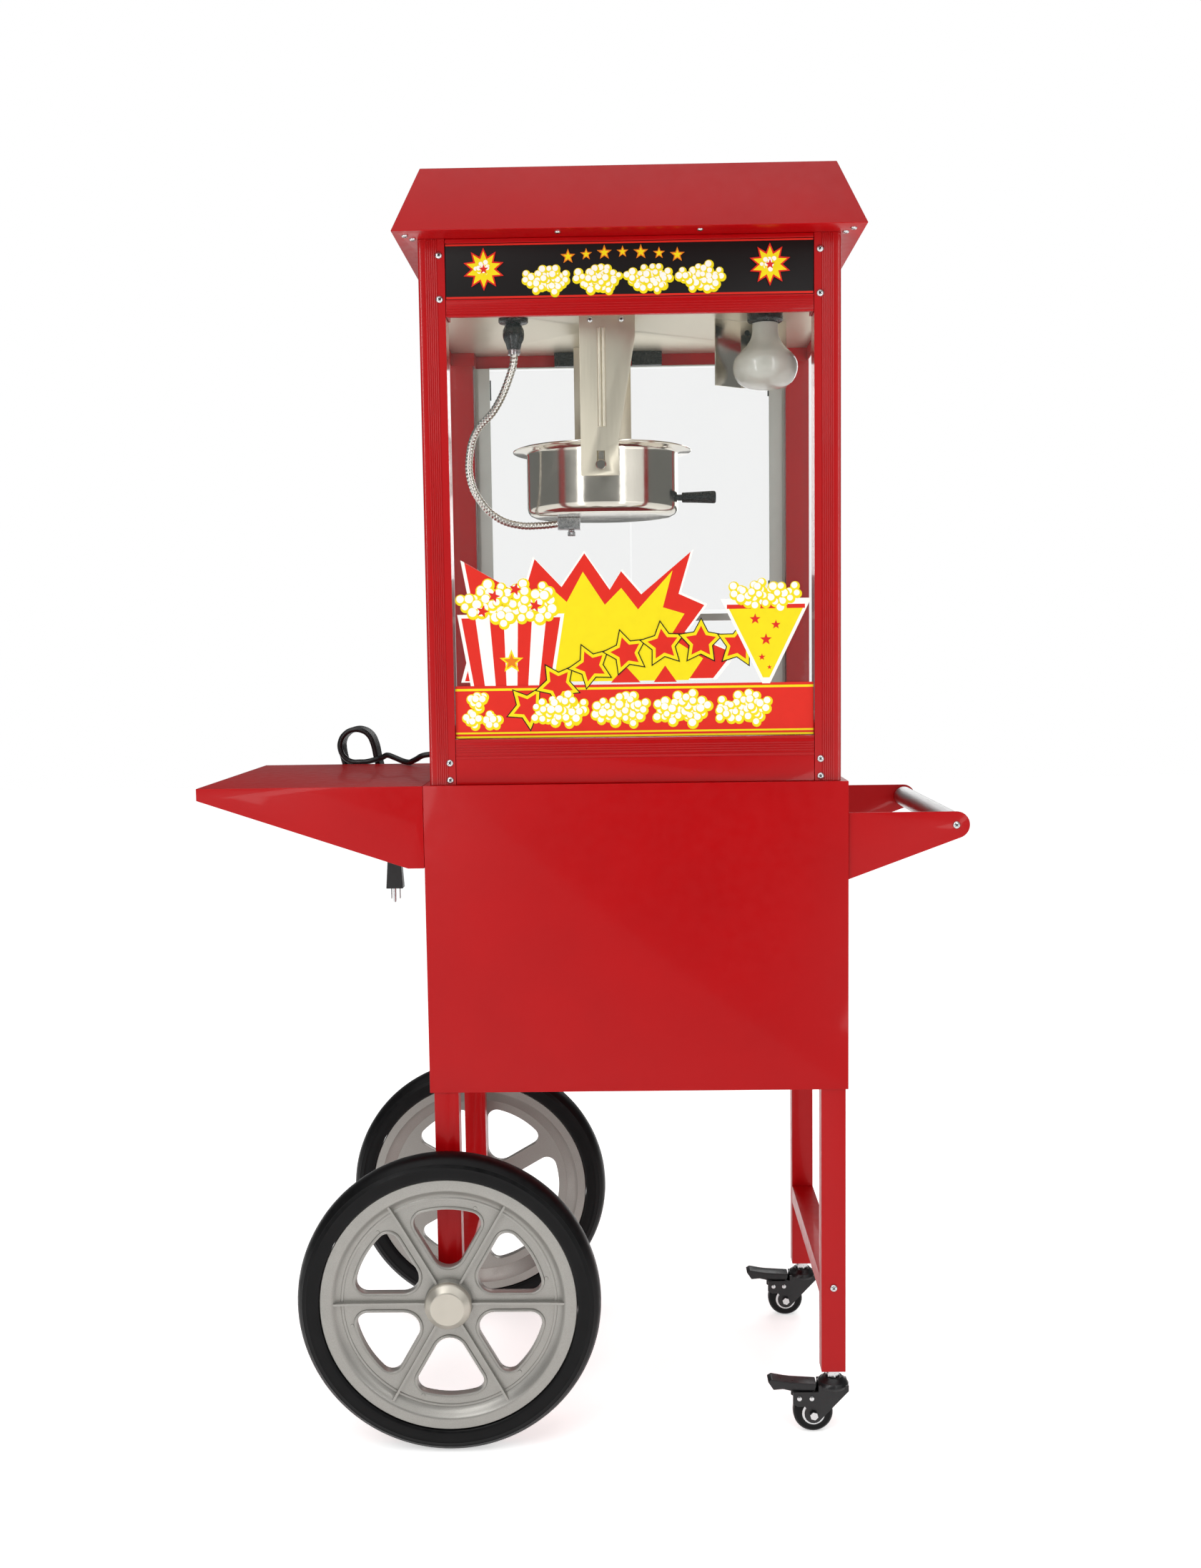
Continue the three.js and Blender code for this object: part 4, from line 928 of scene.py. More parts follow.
# ------------------------------------------------------------------ kettle, hanger, hose and lamp
class POPCORN_CART_OT_kettle(bpy.types.Operator):
    """Spins the pot, and adds its strap, pivots, supply entry and fluted grip"""

    bl_idname = "popcorn_cart.kettle"
    bl_label = "Kettle"

    def execute(self, context):
        centre = at(KETTLE_X, KETTLE_Y, 0)
        bm = bmesh.new()
        pot = [
            (0, 1157), (80, 1157), (88, 1157.8), (94, 1160.5), (97, 1164.5), (98, 1170), (98, 1234),
            (98.8, 1237.5)
        ]
        pot += [
            (101.5, 1239.6), (114, 1240.4), (115.6, 1241.1), (116, 1242), (115.4, 1242.8), (114, 1243),
            (99, 1242.4)
        ]
        pot += [(96, 1241), (95, 1237), (95, 1196), (93, 1190), (88, 1186.8), (80, 1186), (0, 1186)]
        lathe(bm, pot, centre, Z, 128)
        strap = [(-8, -113), (8, -113), (8, 113), (-8, 113)]

        def place(a, b):
            return at(KETTLE_X + a, KETTLE_Y + b, 1243.2)

        for half in (strap[:2] + [(8, -10), (-8, -10)], [(-8, 10), (8, 10)] + strap[2:]):
            extruded(bm, half, place, Z * (3.2 * MM))
        lathe(bm, [(6.2, 1243.2), (10.5, 1243.2), (10.5, 1246.8), (6.2, 1246.8)], centre, Z, 32, closed=True)
        for side in (-1, 1):
            pin = [(0, 96), (5, 96), (5, 124.2), (6.3, 124.2), (6.3, 125.2), (5.4, 126), (0, 126)]
            lathe(bm, pin, at(KETTLE_X, KETTLE_Y, PIVOT_Z), Y * side, 32)
        for turn in (40, 140, 220, 320):
            spot = Vector((math.cos(math.radians(turn)), math.sin(math.radians(turn)), 0))
            lathe(
                bm, [(0, 0), (3, 0), (2.6, 1), (0, 1.6)], centre + spot * (104 * MM) + Z * (1240 * MM),
                -Z, 16
            )
        piece("kettle_pot", bm, "kettle", "mirror_steel", ("kettle",), smooth=36)
        entry = bmesh.new()
        block(entry, -95.4, -66.2, 156.2, 173.8, 1141.2, 1156.8)
        lathe(entry, [(0, 0), (4.2, 0), (4.2, 2), (2, 2), (2, 7), (0, 7)], at(-78, 165, 1141), -Z, 20)
        block(entry, -83, -73, 164.2, 165.8, 1133, 1139)
        piece("kettle_supply_entry", entry, "kettle", "zinc_plate", bevel=0.8)
        handle = bmesh.new()
        low, high = limits("kettle_handle")
        root_x = low.x
        mid_z = (low.z + high.z) / 2
        lathe(handle, [(0, -0.2), (4, -0.2), (4, 6), (0, 6)], at(root_x, KETTLE_Y, mid_z), X, 24)
        flutes = 12
        stations = ((5, 6.0), (6, 6.6), (20, 7.0), (34, 7.6), (45, 8.2), (47.6, 8.1), (49.2, 6.6), (49.5, 3))
        rings = []
        for along, radius in stations:
            ring = []
            for i in range(flutes * 6):
                turn = i * math.tau / (flutes * 6)
                depth = 0.55 * max(0, math.cos(flutes * turn)) if 6 < along < 47 else 0
                r = (radius - depth) * MM
                spot = at(root_x + along, KETTLE_Y, mid_z) + Y * (r * math.cos(turn)) + Z * (
                    r * math.sin(turn)
                )
                ring.append(handle.verts.new(spot))
            rings.append(ring)
            for pair in zip(ring, ring[1:] + ring[:1]):
                handle.edges.new(pair)
        for ring in (rings[0], rings[-1]):
            handle.faces.new(ring)
        for a, b in zip(rings, rings[1:]):
            loops = [handle.edges.get(p) for r in (a, b) for p in zip(r, r[1:] + r[:1])]
            bmesh.ops.bridge_loops(handle, edges=loops)
        bmesh.ops.recalc_face_normals(handle, faces=handle.faces)
        piece(
            "kettle_handle_grip", handle, "kettle", "black_plastic", ("kettle_handle",),
            smooth=40
        )
        return {"FINISHED"}


class POPCORN_CART_OT_kettle_works(bpy.types.Operator):
    """Fits the lids, stirrer, drive shaft and the hanger with its pressed beads"""

    bl_idname = "popcorn_cart.kettle_works"
    bl_label = "Kettle Works"

    def execute(self, context):
        dress("lid_left", "mirror_steel", 0.3)
        dress("lid_right", "mirror_steel", 0.3)
        dress("stirrer", "zinc_plate", 0.3)
        dress("drive_shaft", "zinc_plate", 0.4)
        dress("kettle_hanger", "satin_steel", 0.5)
        ribs = bmesh.new()
        front = limits("kettle_hanger")[0].y
        for x in (-37.6, -32.4):
            points = [at(x, front + 0.6, z) for z in (1258, 1290, 1330, 1376)]
            bar(ribs, points, 2.6, sides=4)
        piece("hanger_pressed_beads", ribs, "root", "satin_steel")
        screws = bmesh.new()
        for x in (-48, -10):
            pan_screw(screws, at(x, front, 1386), -Y, 3.6)
        # The second finish here is painted shade in the screws' cross recesses.
        piece("hanger_screws", screws, "root", ["zinc_plate", "black_coating"])
        return {"FINISHED"}


HOSE_ROUTE = [
    (-145, 110, 1360.4),
    (-145, 110, 1350),
    (-152, 115, 1327),
    (-172, 125, 1290),
    (-196, 135, 1265),
    (-206, 145, 1239),
    (-206, 150, 1204),
    (-194, 155, 1178),
    (-174, 160, 1158),
    (-147, 162, 1148),
    (-118, 164, 1147),
    (-96, 165, 1149),
]


def smooth_route(points, step):
    """Evenly spaced points, step mm apart, along a smooth line through the given ones."""
    curve = spline_curve([at(*p) for p in points], 0.0, resolution=24)
    obj = bpy.data.objects.new("route", curve)
    bpy.context.scene.collection.objects.link(obj)
    bpy.context.view_layer.update()
    mesh = bpy.data.meshes.new_from_object(obj.evaluated_get(bpy.context.evaluated_depsgraph_get()))
    dense = [v.co.copy() for v in mesh.vertices]
    bpy.data.objects.remove(obj)
    bpy.data.meshes.remove(mesh)
    bpy.data.curves.remove(curve)
    lengths = [0.0]
    for a, b in zip(dense, dense[1:]):
        lengths.append(lengths[-1] + (b - a).length)
    count = max(2, round(lengths[-1] / (step * MM)))
    route, i = [], 0
    for k in range(count + 1):
        goal = lengths[-1] * k / count
        while i < len(dense) - 2 and lengths[i + 1] < goal:
            i += 1
        span = lengths[i + 1] - lengths[i]
        route.append(dense[i].lerp(dense[i + 1], (goal - lengths[i]) / span if span else 0))
    return route


class POPCORN_CART_OT_hose(bpy.types.Operator):
    """Winds the hose from the ceiling plug to the kettle, its radius rising and falling along a helix"""

    bl_idname = "popcorn_cart.hose"
    bl_label = "Supply Hose"

    def execute(self, context):
        route = smooth_route(HOSE_ROUTE, 1.0)
        bm = bmesh.new()
        sides, depth = 16, 0.75
        pitch = bpy.context.scene.popcorn_cart_sizes.hose_pitch / MM
        rings = []
        normal = (route[1] - route[0]).orthogonal().normalized()
        for i, spot in enumerate(route):
            ahead = (route[min(i + 1, len(route) - 1)] - route[max(i - 1, 0)]).normalized()
            normal = (normal - ahead * normal.dot(ahead)).normalized()
            other = ahead.cross(normal)
            ring = []
            for s in range(sides):
                turn = s * math.tau / sides
                wave = abs(math.sin(math.pi * (i / pitch) - turn / 2))
                radius = (5 - depth + depth * wave) * MM
                ring.append(bm.verts.new(spot + (normal * math.cos(turn) + other * math.sin(turn)) * radius))
            rings.append(ring)
            for pair in zip(ring, ring[1:] + ring[:1]):
                bm.edges.new(pair)
        for a, b in zip(rings, rings[1:]):
            loops = [bm.edges.get(p) for r in (a, b) for p in zip(r, r[1:] + r[:1])]
            bmesh.ops.bridge_loops(bm, edges=loops)
        bm.faces.new(rings[0])
        bm.faces.new(rings[-1])
        bmesh.ops.recalc_face_normals(bm, faces=bm.faces)
        obj = piece("supply_hose", bm, None, "wound_hose", ("conduit",), smooth=50)
        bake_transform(obj)
        ends = bmesh.new()
        ceiling = CEILING_Z - 0.3
        spot = at(-145, 110, 0)
        plug = [
            (0, ceiling - 38), (7.5, ceiling - 38), (8.5, ceiling - 36.5), (10, ceiling - 30),
            (12.6, ceiling - 25)
        ]
        plug += [
            (13.5, ceiling - 20), (13.2, ceiling - 14), (11, ceiling - 9), (9, ceiling - 6.4),
            (17.5, ceiling - 5)
        ]
        plug += [(18.5, ceiling - 4), (18.5, ceiling), (0, ceiling)]
        lathe(ends, plug, spot, Z, 48)
        lathe(ends, [(5.3, 1355), (7.4, 1355), (7.4, 1360.6), (5.3, 1360.6)], spot, Z, 32, closed=True, ink=1)
        block(ends, -142, -136.5, 102.5, 105, 1355.4, 1360.2, ink=1)
        piece(
            "outlet_plug_body", ends, "root", ["black_plastic", "zinc_plate"],
            ("outlet_plug",), smooth=36
        )
        return {"FINISHED"}


class POPCORN_CART_OT_lamp(bpy.types.Operator):
    """Blows the reflector bulb, and adds its holder and shield"""

    bl_idname = "popcorn_cart.lamp"
    bl_label = "Lamp"

    def execute(self, context):
        low, high = limits("lamp")
        spot = at((low.x + high.x) / 2, (low.y + high.y) / 2, 0)
        base = low.z
        glass = [
            (0, 0), (10, 0.5), (20, 2.3), (28, 5.6), (33.5, 9.8), (37, 15), (39.2, 21), (40, 27),
            (39.4, 33)
        ]
        glass += [
            (36.8, 39), (32.5, 44), (27, 49), (22.5, 54), (19, 59.5), (17, 65), (16, 71), (15.6, 80),
            (0, 80)
        ]
        bm = bmesh.new()
        lathe(bm, [(r, base + h) for r, h in glass], spot, Z, 72)
        piece("lamp_bulb", bm, "root", "frosted_glass", ("lamp",), smooth=60)
        holder = bmesh.new()
        cap = [
            (0, base + 80), (16.2, base + 80), (16.2, base + 81), (20.5, base + 82), (22, base + 84),
            (22, high.z), (0, high.z)
        ]
        lathe(holder, cap, spot, Z, 48)
        piece("lamp_holder", holder, "root", "black_plastic", smooth=36)
        dress("lamp_shield", "mirror_steel", 0.3)
        # Flat black discs where the shield has holes: painted shade of the holes.
        holes = bmesh.new()
        for x, z in ((180, 1385), (150, 1385)):
            lathe(holes, [(0, 0), (3.4, 0), (3.4, 0.3), (0, 0.3)], at(x, 149.9, z), -Y, 20)
        piece("lamp_shield_hole_shade", holes, "root", "black_coating")
        return {"FINISHED"}


# ------------------------------------------------------------------ prints
# Inks are laid one on another in thin films, each a little in front of the last.
FILM = 0.006
INKS = ["ink_white", "ink_yellow", "ink_red", "ink_black", "ink_orange"]
WHITE, YELLOW, RED, BLACK, ORANGE = range(len(INKS))


class Print:
    """A stack of flat inked shapes on a front-facing surface at y, coming forward film by film."""

    def __init__(self, y):
        self.y = y
        self.bm = bmesh.new()

    def shape(self, outline, ink):
        self.y -= FILM
        corners = [self.bm.verts.new(at(a, self.y, b)) for a, b in outline]
        face = self.bm.faces.new(corners)
        face.normal_update()
        if face.normal.y > 0:
            face.normal_flip()
        face.material_index = ink

    def discs(self, spots, ink):
        """Discs of (x, z, radius) that share one film."""
        self.y -= FILM
        start = self.y
        for i, (x, z, radius) in enumerate(spots):
            self.y = start - i * 0.002
            place = Matrix.Translation(at(x, self.y, z)) @ Matrix.Rotation(math.pi / 2, 4, "X")
            made = bmesh.ops.create_circle(
                self.bm, cap_ends=True, radius=radius * MM, segments=14, matrix=place
            )
            for face in {f for v in made["verts"] for f in v.link_faces}:
                face.material_index = ink

    def finish(self, name, slot):
        return piece(name, self.bm, "root", INKS)


def star(x, z, outer, inner, points=5, turn=90):
    """A star's outline about (x, z)."""
    outline = []
    for i in range(points * 2):
        radius = inner if i % 2 else outer
        angle = math.radians(turn + 180 * i / points)
        outline.append((x + radius * math.cos(angle), z + radius * math.sin(angle)))
    return outline


def popcorn(print_, x, z, width, height, count, seed, size=5.2):
    """A heap of popped corn in an oval: each kernel is white lobes over yellow ones, lit from above."""
    draw = random.Random(seed)
    golden_turn = 2.39996
    kernels = []
    for i in range(count):
        reach = math.sqrt((i + 0.5) / count)
        cx = x + reach * width / 2 * math.cos(i * golden_turn)
        cz = z + reach * height / 2 * math.sin(i * golden_turn)
        first = draw.uniform(0, math.tau)
        turns = [first + k * math.tau / 3 for k in range(3)]
        part = size * 0.72
        middles = [(cx + part * math.cos(t), cz + part * math.sin(t)) for t in turns]
        kernels.append([(a, b, size * draw.uniform(0.6, 0.85)) for a, b in middles])
    draw.shuffle(kernels)
    print_.discs([(a, b, r + 1.0) for kernel in kernels for a, b, r in kernel], YELLOW)
    for kernel in kernels:
        print_.discs([(a, b, r + 0.35) for a, b, r in kernel], YELLOW)
        print_.discs([(a - 0.8, b + 1.2, r * 0.76) for a, b, r in kernel], WHITE)


def pushed_out(outline, x, z, share):
    """An outline grown from a middle point by a share of its size."""
    return [(x + (a - x) * share, z + (b - z) * share) for a, b in outline]


def striped_box(print_, x, z, half_top, half_low, height, seed):
    """A tapered paper box with upright stripes, heaped with popcorn."""
    corners = [(x - half_low, z), (x + half_low, z), (x + half_top, z + height), (x - half_top, z + height)]
    print_.shape(pushed_out(corners, x, z + height / 2, 1.08), WHITE)
    stripes = 7
    for i in range(stripes):
        a, b = i / stripes, (i + 1) / stripes
        low_a, low_b = x - half_low + 2 * half_low * a, x - half_low + 2 * half_low * b
        top_a, top_b = x - half_top + 2 * half_top * a, x - half_top + 2 * half_top * b
        ink = RED if i % 2 == 0 else WHITE
        print_.shape([(low_a, z), (low_b, z), (top_b, z + height), (top_a, z + height)], ink)
    print_.shape(star(x, z + height * 0.5, 15, 6.4), YELLOW)
    print_.shape(star(x, z + height * 0.5, 10, 4.2), ORANGE)
    popcorn(print_, x, z + height + 18, half_top * 2 - 6, 44, 19, seed, 8.6)
    for dx, dz in ((-20, 26), (6, 34), (30, 14), (-34, 8)):
        print_.shape(star(x + dx, z + height + dz, 8, 3.4, turn=74), RED)


def paper_cone(print_, x, z, half_top, height, seed):
    """A rolled paper cone with stars, heaped with popcorn."""
    outline = [(x - 4, z), (x + 4, z), (x + half_top, z + height), (x - half_top, z + height)]
    print_.shape(pushed_out(outline, x, z + height / 2, 1.16), WHITE)
    print_.shape(outline, YELLOW)
    for dx, dz, size in ((-13, 0.8, 7), (12, 0.72, 6), (0, 0.52, 7.5), (-5, 0.28, 4.5), (4, 0.14, 3)):
        print_.shape(star(x + dx, z + height * dz, size, size * 0.42), RED)
    top, low = z + height, z + height - 5
    print_.shape([(x - half_top, low), (x + half_top, low), (x + half_top, top), (x - half_top, top)], RED)
    popcorn(print_, x, z + height + 12, half_top * 2 - 12, 26, 11, seed, 7.6)


BURST = [
    (-205, 950), (-188, 1010), (-203, 1093), (-150, 1062), (-130, 1058), (-118, 1096), (-86, 1062),
    (-58, 1102),
    (-28, 1058), (-14, 1080), (10, 1052), (70, 1102), (55, 1052), (86, 1038), (62, 1006), (120, 980),
    (96, 950),
]
BURST_INNER = [
    (-120, 948), (-112, 1000), (-150, 1040), (-104, 1032), (-104, 1066), (-80, 1044), (-60, 1080),
    (-34, 1040),
    (-14, 1060), (6, 1034), (48, 1080), (36, 1036), (62, 1028), (44, 1000), (84, 974), (66, 948),
]


class POPCORN_CART_OT_pane_print(bpy.types.Operator):
    """Prints the burst, box, cone, stars and popcorn on the front pane"""

    bl_idname = "popcorn_cart.pane_print"
    bl_label = "Pane Print"

    def execute(self, context):
        paint = Print(PANE_LOW.y - 0.05)
        half = PANE_HIGH.x - 0.6
        low, band = PANE_LOW.z + 0.8, 944
        paint.shape(pushed_out(BURST, -50, 1000, 1.03), WHITE)
        paint.shape(BURST, RED)
        paint.shape(BURST_INNER, YELLOW)
        for x0, x1 in ((-28, 8), (24, 52)):
            paint.shape([(x0, 946), (x1, 946), ((x0 + x1) / 2, 966)], RED)
        striped_box(paint, -148, 920, 60, 42, 106, 3)
        paint.shape([(-half, low), (half, low), (half, band), (-half, band)], RED)
        paint.shape([(-half, band - 6), (half, band - 6), (half, band - 3.2), (-half, band - 3.2)], YELLOW)
        paint.shape([(-half, low), (half, low), (half, low + 2.4), (-half, low + 2.4)], YELLOW)
        paint.shape([(-half, low + 5), (half, low + 5), (half, low + 7.2), (-half, low + 7.2)], YELLOW)
        base = paint.y
        for i in range(4):
            paint.y = base
            popcorn(paint, -88 + i * 74, 913, 64, 30, 13, 20 + i, 7.4)
        for x, z, count in ((-190, 925, 4), (-196, 904, 3), (-172, 902, 3)):
            paint.y = base
            popcorn(paint, x, z, 12, 9, count, int(-x), 6.6)
        large = bpy.context.scene.popcorn_cart_sizes.print_star / MM
        for i in range(7):
            turn = math.radians(131 - 8.4 * i)
            x, z = 76 + 312 * math.cos(turn), 682 + 312 * math.sin(turn)
            for share, ink in ((1.14, BLACK), (1.04, YELLOW), (0.74, RED)):
                paint.shape(star(x, z, large * share, large * share * 0.52, turn=math.degrees(turn)), ink)
        paper_cone(paint, 160, 950, 47, 88, 7)
        paint.finish("pane_print", "sign_face")
        return {"FINISHED"}


class POPCORN_CART_OT_sign(bpy.types.Operator):
    """Prints the stars and popcorn on the black sign"""

    bl_idname = "popcorn_cart.sign"
    bl_label = "Sign"

    def execute(self, context):
        dress("sign_panel", "ink_black", 0.2)
        paint = Print(SIGN_LOW.y - 0.02)
        half = SIGN_HIGH.x - 0.6
        low, high = SIGN_LOW.z, SIGN_HIGH.z
        paint.shape([(-half, low + 0.5), (half, low + 0.5), (half, low + 3), (-half, low + 3)], RED)
        paint.shape([(-half, high - 2.6), (half, high - 2.6), (half, high - 0.5), (-half, high - 0.5)], RED)
        for i in range(4):
            popcorn(paint, -98 + i * 61, 1422, 53, 23, 12, 40 + i, 6.0)
        for i in range(7):
            x = -72 + i * 21.5
            z = 1449 + 4.5 * math.cos((i - 3) * 0.52)
            size = 9.2 if i % 2 == 0 else 7.4
            paint.shape(star(x, z, size, size * 0.42), ORANGE)
            paint.shape(star(x, z, size * 0.62, size * 0.26), YELLOW)
        for x in (-172, 166):
            paint.shape(star(x, 1436, 25, 15, 10), RED)
            paint.shape(star(x, 1436, 21, 12, 10), YELLOW)
            popcorn(paint, x, 1436, 12, 11, 5, int(abs(x)), 4.4)
            paint.shape(star(x, 1436, 6, 2.5), RED)
        paint.finish("sign_print", "sign_face")
        return {"FINISHED"}


# ------------------------------------------------------------------ cord
CORD_RADIUS = 4
CORD_EXIT = (-281.3, 305, 841)
CORD_ROUTE = [
    (-290, 305, 841),
    (-299, 307, 839),
    (-306, 312, 835),
    (-314, 322, 831),
    (-321, 335, 828.3),
    (-331, 344, 829.5),
    (-344, 352, 834),
    (-356, 361, 837),
    (-365, 371, 833),
]
CORD_CROSSING = [(-377, 375, 829.5), (-390, 377, 826.6)]
HANK_X, HANK_Z = -391, 791
HANK_RUN, HANK_FOLD, HANK_TURNS = 120, 24, 4
HANK_LEAN = math.radians(12)
HANK_LEAD_Y, HANK_LAST_Y = 378.5, 414.8
PLUG_X, PLUG_Y, PLUG_NECK = -357, 414, 706


def hank_points():
    """The lead-in curls up round the top fold; each turn then goes down the right run and up the left."""
    half, fold = HANK_RUN / 2, HANK_FOLD

    def bend(middle, start, end, steps):
        turns = [math.radians(start + (end - start) * k / steps) for k in range(steps + 1)]
        return [(fold * math.cos(t), middle + fold * math.sin(t)) for t in turns]

    right_run = [(fold, half * k) for k in (0.6, 0, -0.6)]
    left_run = [(-fold, half * k) for k in (-0.6, 0, 0.6)]
    one_turn = right_run + bend(-half, 0, -180, 6) + left_run + bend(half, 180, 0, 6)
    trail = bend(half, 270, 0, 9) + one_turn * HANK_TURNS + right_run + [(fold, -half)]
    lengths = [0.0]
    for a, b in zip(trail, trail[1:]):
        lengths.append(lengths[-1] + math.dist(a, b))
    points = []
    for (u, w), gone in zip(trail, lengths):
        x = HANK_X + u * math.cos(HANK_LEAN) - w * math.sin(HANK_LEAN)
        z = HANK_Z + u * math.sin(HANK_LEAN) + w * math.cos(HANK_LEAN)
        y = HANK_LEAD_Y + (HANK_LAST_Y - HANK_LEAD_Y) * gone / lengths[-1]
        points.append((x, y, z))
    return points


class POPCORN_CART_OT_cord(bpy.types.Operator):
    """Lays the mains lead over the shelf and folds its slack into a hanging hank with the plug"""

    bl_idname = "popcorn_cart.cord"
    bl_label = "Power Cord"

    def execute(self, context):
        tail = [(PLUG_X, PLUG_Y, PLUG_NECK + 14), (PLUG_X, PLUG_Y, PLUG_NECK)]
        points = [CORD_EXIT, *CORD_ROUTE, *CORD_CROSSING, *hank_points(), *tail]
        curve = spline_curve([at(*p) for p in points], CORD_RADIUS, sides=5, resolution=6)
        curve.splines[0].use_smooth = True
        curve.materials.append(FINISH["cord_jacket"])
        cord = bpy.data.objects.new("power_flex", curve)
        bpy.context.scene.collection.objects.link(cord)
        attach(cord, "root")
        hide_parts("power_cord", "cord_hank")
        strain = bmesh.new()
        root_x = CORD_EXIT[0] + 32
        grip = [(0, 0), (9, 0), (9, 3), (8.2, 4), (6.6, 4.4)]
        for i in range(6):
            a = 6 + i * 4.2
            grip += [
                (6.4 - i * 0.2, a), (6.2 - i * 0.2, a + 2.6), (5.0 - i * 0.08, a + 2.8),
                (5.0 - i * 0.08, a + 4)
            ]
        grip += [(4.8, 31.8), (0, 31.8)]
        lathe(strain, grip, at(root_x, CORD_EXIT[1], CORD_EXIT[2]), -X, 32)
        piece(
            "cord_strain_relief", strain, "root", "black_plastic", ("cord_relief",),
            smooth=34
        )
        bm = bmesh.new()
        centre = at(PLUG_X, PLUG_Y, 0)
        neck = [
            (0, 680), (7.4, 682), (7.0, 686), (5.6, 688), (6.4, 690), (6.2, 693), (5.1, 694.5),
            (5.8, 696), (5.6, 699)
        ]
        neck += [(4.8, 700.5), (5.2, 702), (4.6, 705.8), (0, 705.8)]
        lathe(bm, neck, centre, Z, 32)
        body = [(-12.5, -10), (12.5, -10), (12.5, 10), (-12.5, 10)]
        made = set(bm.verts)
        extruded(bm, body, lambda a, b: at(PLUG_X + a, PLUG_Y + b, 635), Z * (48 * MM))
        top = [v for v in bm.verts if v not in made and v.co.z > 0.66]
        waist = Matrix.Translation(centre) @ Matrix.Diagonal((0.76, 0.8, 1, 1)) @ Matrix.Translation(-centre)
        bmesh.ops.transform(bm, matrix=waist, verts=top)
        for dx in (-6.35, 6.35):
            block(bm, PLUG_X + dx - 0.8, PLUG_X + dx + 0.8, PLUG_Y + 1, PLUG_Y + 7.3, 618, 636, ink=1)
        pin = [(0, 614), (1.2, 614.1), (2.2, 615.4), (2.4, 617), (2.4, 636), (0, 636)]
        lathe(bm, pin, at(PLUG_X, PLUG_Y - 6.5, 0), Z, 24, ink=1)
        plug = piece(
            "cord_plug_body", bm, "root", ["cord_jacket", "zinc_plate"], ("cord_plug",),
            bevel=1.2
        )
        plug.modifiers["round_edges"].angle_limit = math.radians(50)
        wire = bmesh.new()
        half, front, back = HANK_FOLD + 5.4, HANK_LEAD_Y - 5, HANK_LAST_Y + 3.6
        for w in (-2.4, 0, 2.4):
            ring = [(-half, front + 4), (-half + 4, front), (half - 4, front), (half, front + 4)]
            ring += [(half, back - 4), (half - 4, back), (4 - half, back), (-half, back - 4)]
            turn_u, turn_w = math.cos(HANK_LEAN), math.sin(HANK_LEAN)
            spots = [
                at(HANK_X + u * turn_u - w * turn_w, y, HANK_Z + u * turn_w + w * turn_u)
                for u, y in ring
            ]
            bar(wire, spots, 1.2, closed=True, sides=3)
        tie = piece("cord_tie", wire, "root", "cord_jacket")
        return {"FINISHED"}


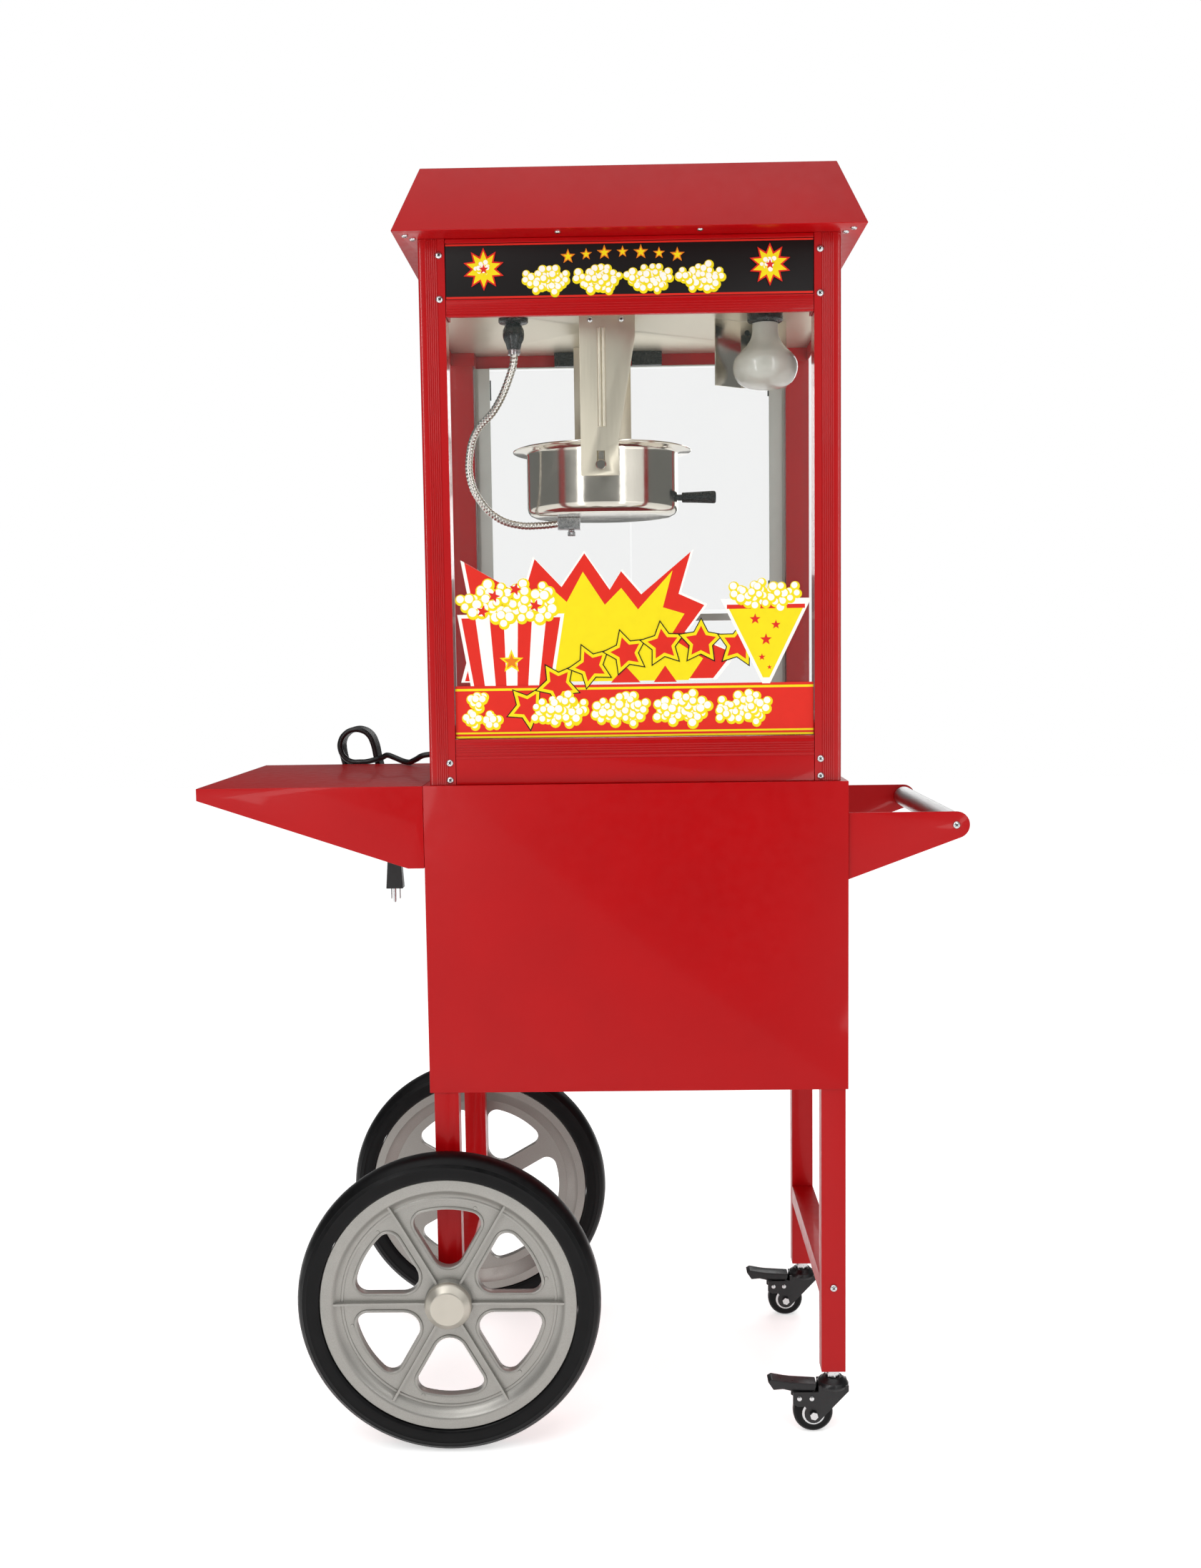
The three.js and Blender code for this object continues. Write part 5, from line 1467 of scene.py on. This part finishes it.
# ------------------------------------------------------------------ stage
class POPCORN_CART_OT_stage(bpy.types.Operator):
    """Sets the camera, the white floor and the soft studio lamps"""

    bl_idname = "popcorn_cart.stage"
    bl_label = "Stage"

    def execute(self, context):
        scene = bpy.context.scene
        scene.view_settings.view_transform = "Standard"
        # The eye's place in mm, its turn, tilt and roll in degrees, and the lens in mm.
        eye = at(-10.67, -1865.44, 992.67)
        turn, tilt, roll, focal_length = 0.963, 5.166, -0.791, 35.49
        lens = bpy.data.cameras.new("camera")
        lens.sensor_width = 36
        lens.sensor_fit = "AUTO"
        lens.lens = focal_length
        camera = bpy.data.objects.new("camera", lens)
        place = Matrix.Translation(eye)
        place @= Matrix.Rotation(math.radians(turn), 4, "Z")
        place @= Matrix.Rotation(math.radians(90 - tilt), 4, "X")
        place @= Matrix.Rotation(math.radians(roll), 4, "Z")
        camera.matrix_world = place
        scene.collection.objects.link(camera)
        scene.camera = camera
        world = bpy.data.worlds.new("studio")
        world.use_nodes = True
        tree = world.node_tree
        soft = tree.nodes["Background"]
        soft.inputs["Color"].default_value = linear("#FFFFFF")
        soft.inputs["Strength"].default_value = 0.17
        plain = add_node(tree, "ShaderNodeBackground", inputs={"Color": linear("#FFFFFF"), "Strength": 1.0})
        seen = add_node(tree, "ShaderNodeLightPath").outputs["Is Camera Ray"]
        mix = add_node(tree, "ShaderNodeMixShader", inputs={"Fac": seen})
        tree.links.new(soft.outputs["Background"], mix.inputs[1])
        tree.links.new(plain.outputs["Background"], mix.inputs[2])
        tree.links.new(mix.outputs["Shader"], tree.nodes["World Output"].inputs["Surface"])
        scene.world = world
        bm = bmesh.new()
        bmesh.ops.create_grid(bm, x_segments=1, y_segments=1, size=9)
        mesh = bpy.data.meshes.new("floor")
        bm.to_mesh(mesh)
        bm.free()
        floor = bpy.data.objects.new("floor", mesh)
        # Matt white sweep, lit from within a little, so that it stays white where the lamps fall off.
        glow = {"Roughness": 0.7, "Emission Color": linear("#FFFFFF"), "Emission Strength": 0.55}
        mesh.materials.append(
            finish("floor_paint", linear("#F6F6F5"), glow, [{"size": 400, "tint": (0.98, 1.02)}])
        )
        scene.collection.objects.link(floor)
        floor.location.z = -0.0006
        sky = bpy.data.lights.new("sky", "SUN")
        sky.energy = 1.4
        sky.angle = math.radians(70)
        sun = bpy.data.objects.new("sky", sky)
        sun.rotation_euler = (math.radians(14), math.radians(-10), 0)
        scene.collection.objects.link(sun)
        lights = (
            ("key", (-1500, -2000, 2300), (1.6, 1.6), 12),
            ("fill", (2000, -1600, 1500), (1.8, 1.8), 8),
            ("back", (600, 2300, 2000), (1.8, 1.8), 22),
            ("strip_left", (-760, -1000, 1150), (0.14, 1.5), 4.5),
            ("strip_right", (640, -1000, 1250), (0.10, 1.5), 3.5),
        )
        for name, spot, (width, height), power in lights:
            lamp = bpy.data.lights.new(name, "AREA")
            lamp.shape = "RECTANGLE"
            lamp.size = width
            lamp.size_y = height
            lamp.energy = power
            obj = bpy.data.objects.new(name, lamp)
            obj.location = at(*spot)
            obj.rotation_euler = (at(0, 185, 900) - obj.location).to_track_quat("-Z", "Y").to_euler()
            scene.collection.objects.link(obj)
        return {"FINISHED"}


# ------------------------------------------------------------------ add-on
STEPS = (
    POPCORN_CART_OT_finishes,
    POPCORN_CART_OT_stage,
    POPCORN_CART_OT_cord,
    POPCORN_CART_OT_cart_body,
    POPCORN_CART_OT_cart_fittings,
    POPCORN_CART_OT_push_bar,
    POPCORN_CART_OT_wheels,
    POPCORN_CART_OT_casters,
    POPCORN_CART_OT_posts,
    POPCORN_CART_OT_cabinet_frame,
    POPCORN_CART_OT_cabinet_trim,
    POPCORN_CART_OT_roof_seams,
    POPCORN_CART_OT_panes,
    POPCORN_CART_OT_switches,
    POPCORN_CART_OT_kettle,
    POPCORN_CART_OT_kettle_works,
    POPCORN_CART_OT_hose,
    POPCORN_CART_OT_lamp,
    POPCORN_CART_OT_pane_print,
    POPCORN_CART_OT_sign,
)


class POPCORN_CART_PT_panel(bpy.types.Panel):
    """Lists the cart's sizes, colours and steps in the sidebar"""

    bl_idname = "POPCORN_CART_PT_panel"
    bl_label = "Popcorn Cart"
    bl_space_type = "VIEW_3D"
    bl_region_type = "UI"
    bl_category = "Popcorn Cart"

    def draw(self, context):
        for group in (context.scene.popcorn_cart_sizes, context.scene.popcorn_cart_colours):
            box = self.layout.box()
            for name in group.__annotations__:
                box.prop(group, name)
        column = self.layout.column()
        for step in STEPS:
            column.operator(step.bl_idname)


CLASSES = (PopcornCartColours, PopcornCartSizes, *STEPS, POPCORN_CART_PT_panel)


def register():
    """Registers the add-on's classes and its settings."""
    for cls in CLASSES:
        bpy.utils.register_class(cls)
    bpy.types.Scene.popcorn_cart_colours = bpy.props.PointerProperty(type=PopcornCartColours)
    bpy.types.Scene.popcorn_cart_sizes = bpy.props.PointerProperty(type=PopcornCartSizes)


def unregister():
    """Takes the add-on's classes and settings away again."""
    del bpy.types.Scene.popcorn_cart_sizes
    del bpy.types.Scene.popcorn_cart_colours
    for cls in reversed(CLASSES):
        bpy.utils.unregister_class(cls)


def main():
    register()
    bpy.ops.popcorn_cart.finishes()
    bpy.ops.popcorn_cart.stage()
    bpy.ops.popcorn_cart.cord()
    bpy.ops.popcorn_cart.cart_body()
    bpy.ops.popcorn_cart.cart_fittings()
    bpy.ops.popcorn_cart.push_bar()
    bpy.ops.popcorn_cart.wheels()
    bpy.ops.popcorn_cart.casters()
    bpy.ops.popcorn_cart.posts()
    bpy.ops.popcorn_cart.cabinet_frame()
    bpy.ops.popcorn_cart.cabinet_trim()
    bpy.ops.popcorn_cart.roof_seams()
    bpy.ops.popcorn_cart.panes()
    bpy.ops.popcorn_cart.switches()
    bpy.ops.popcorn_cart.kettle()
    bpy.ops.popcorn_cart.kettle_works()
    bpy.ops.popcorn_cart.hose()
    bpy.ops.popcorn_cart.lamp()
    bpy.ops.popcorn_cart.pane_print()
    bpy.ops.popcorn_cart.sign()


if __name__ == "__main__":
    main()
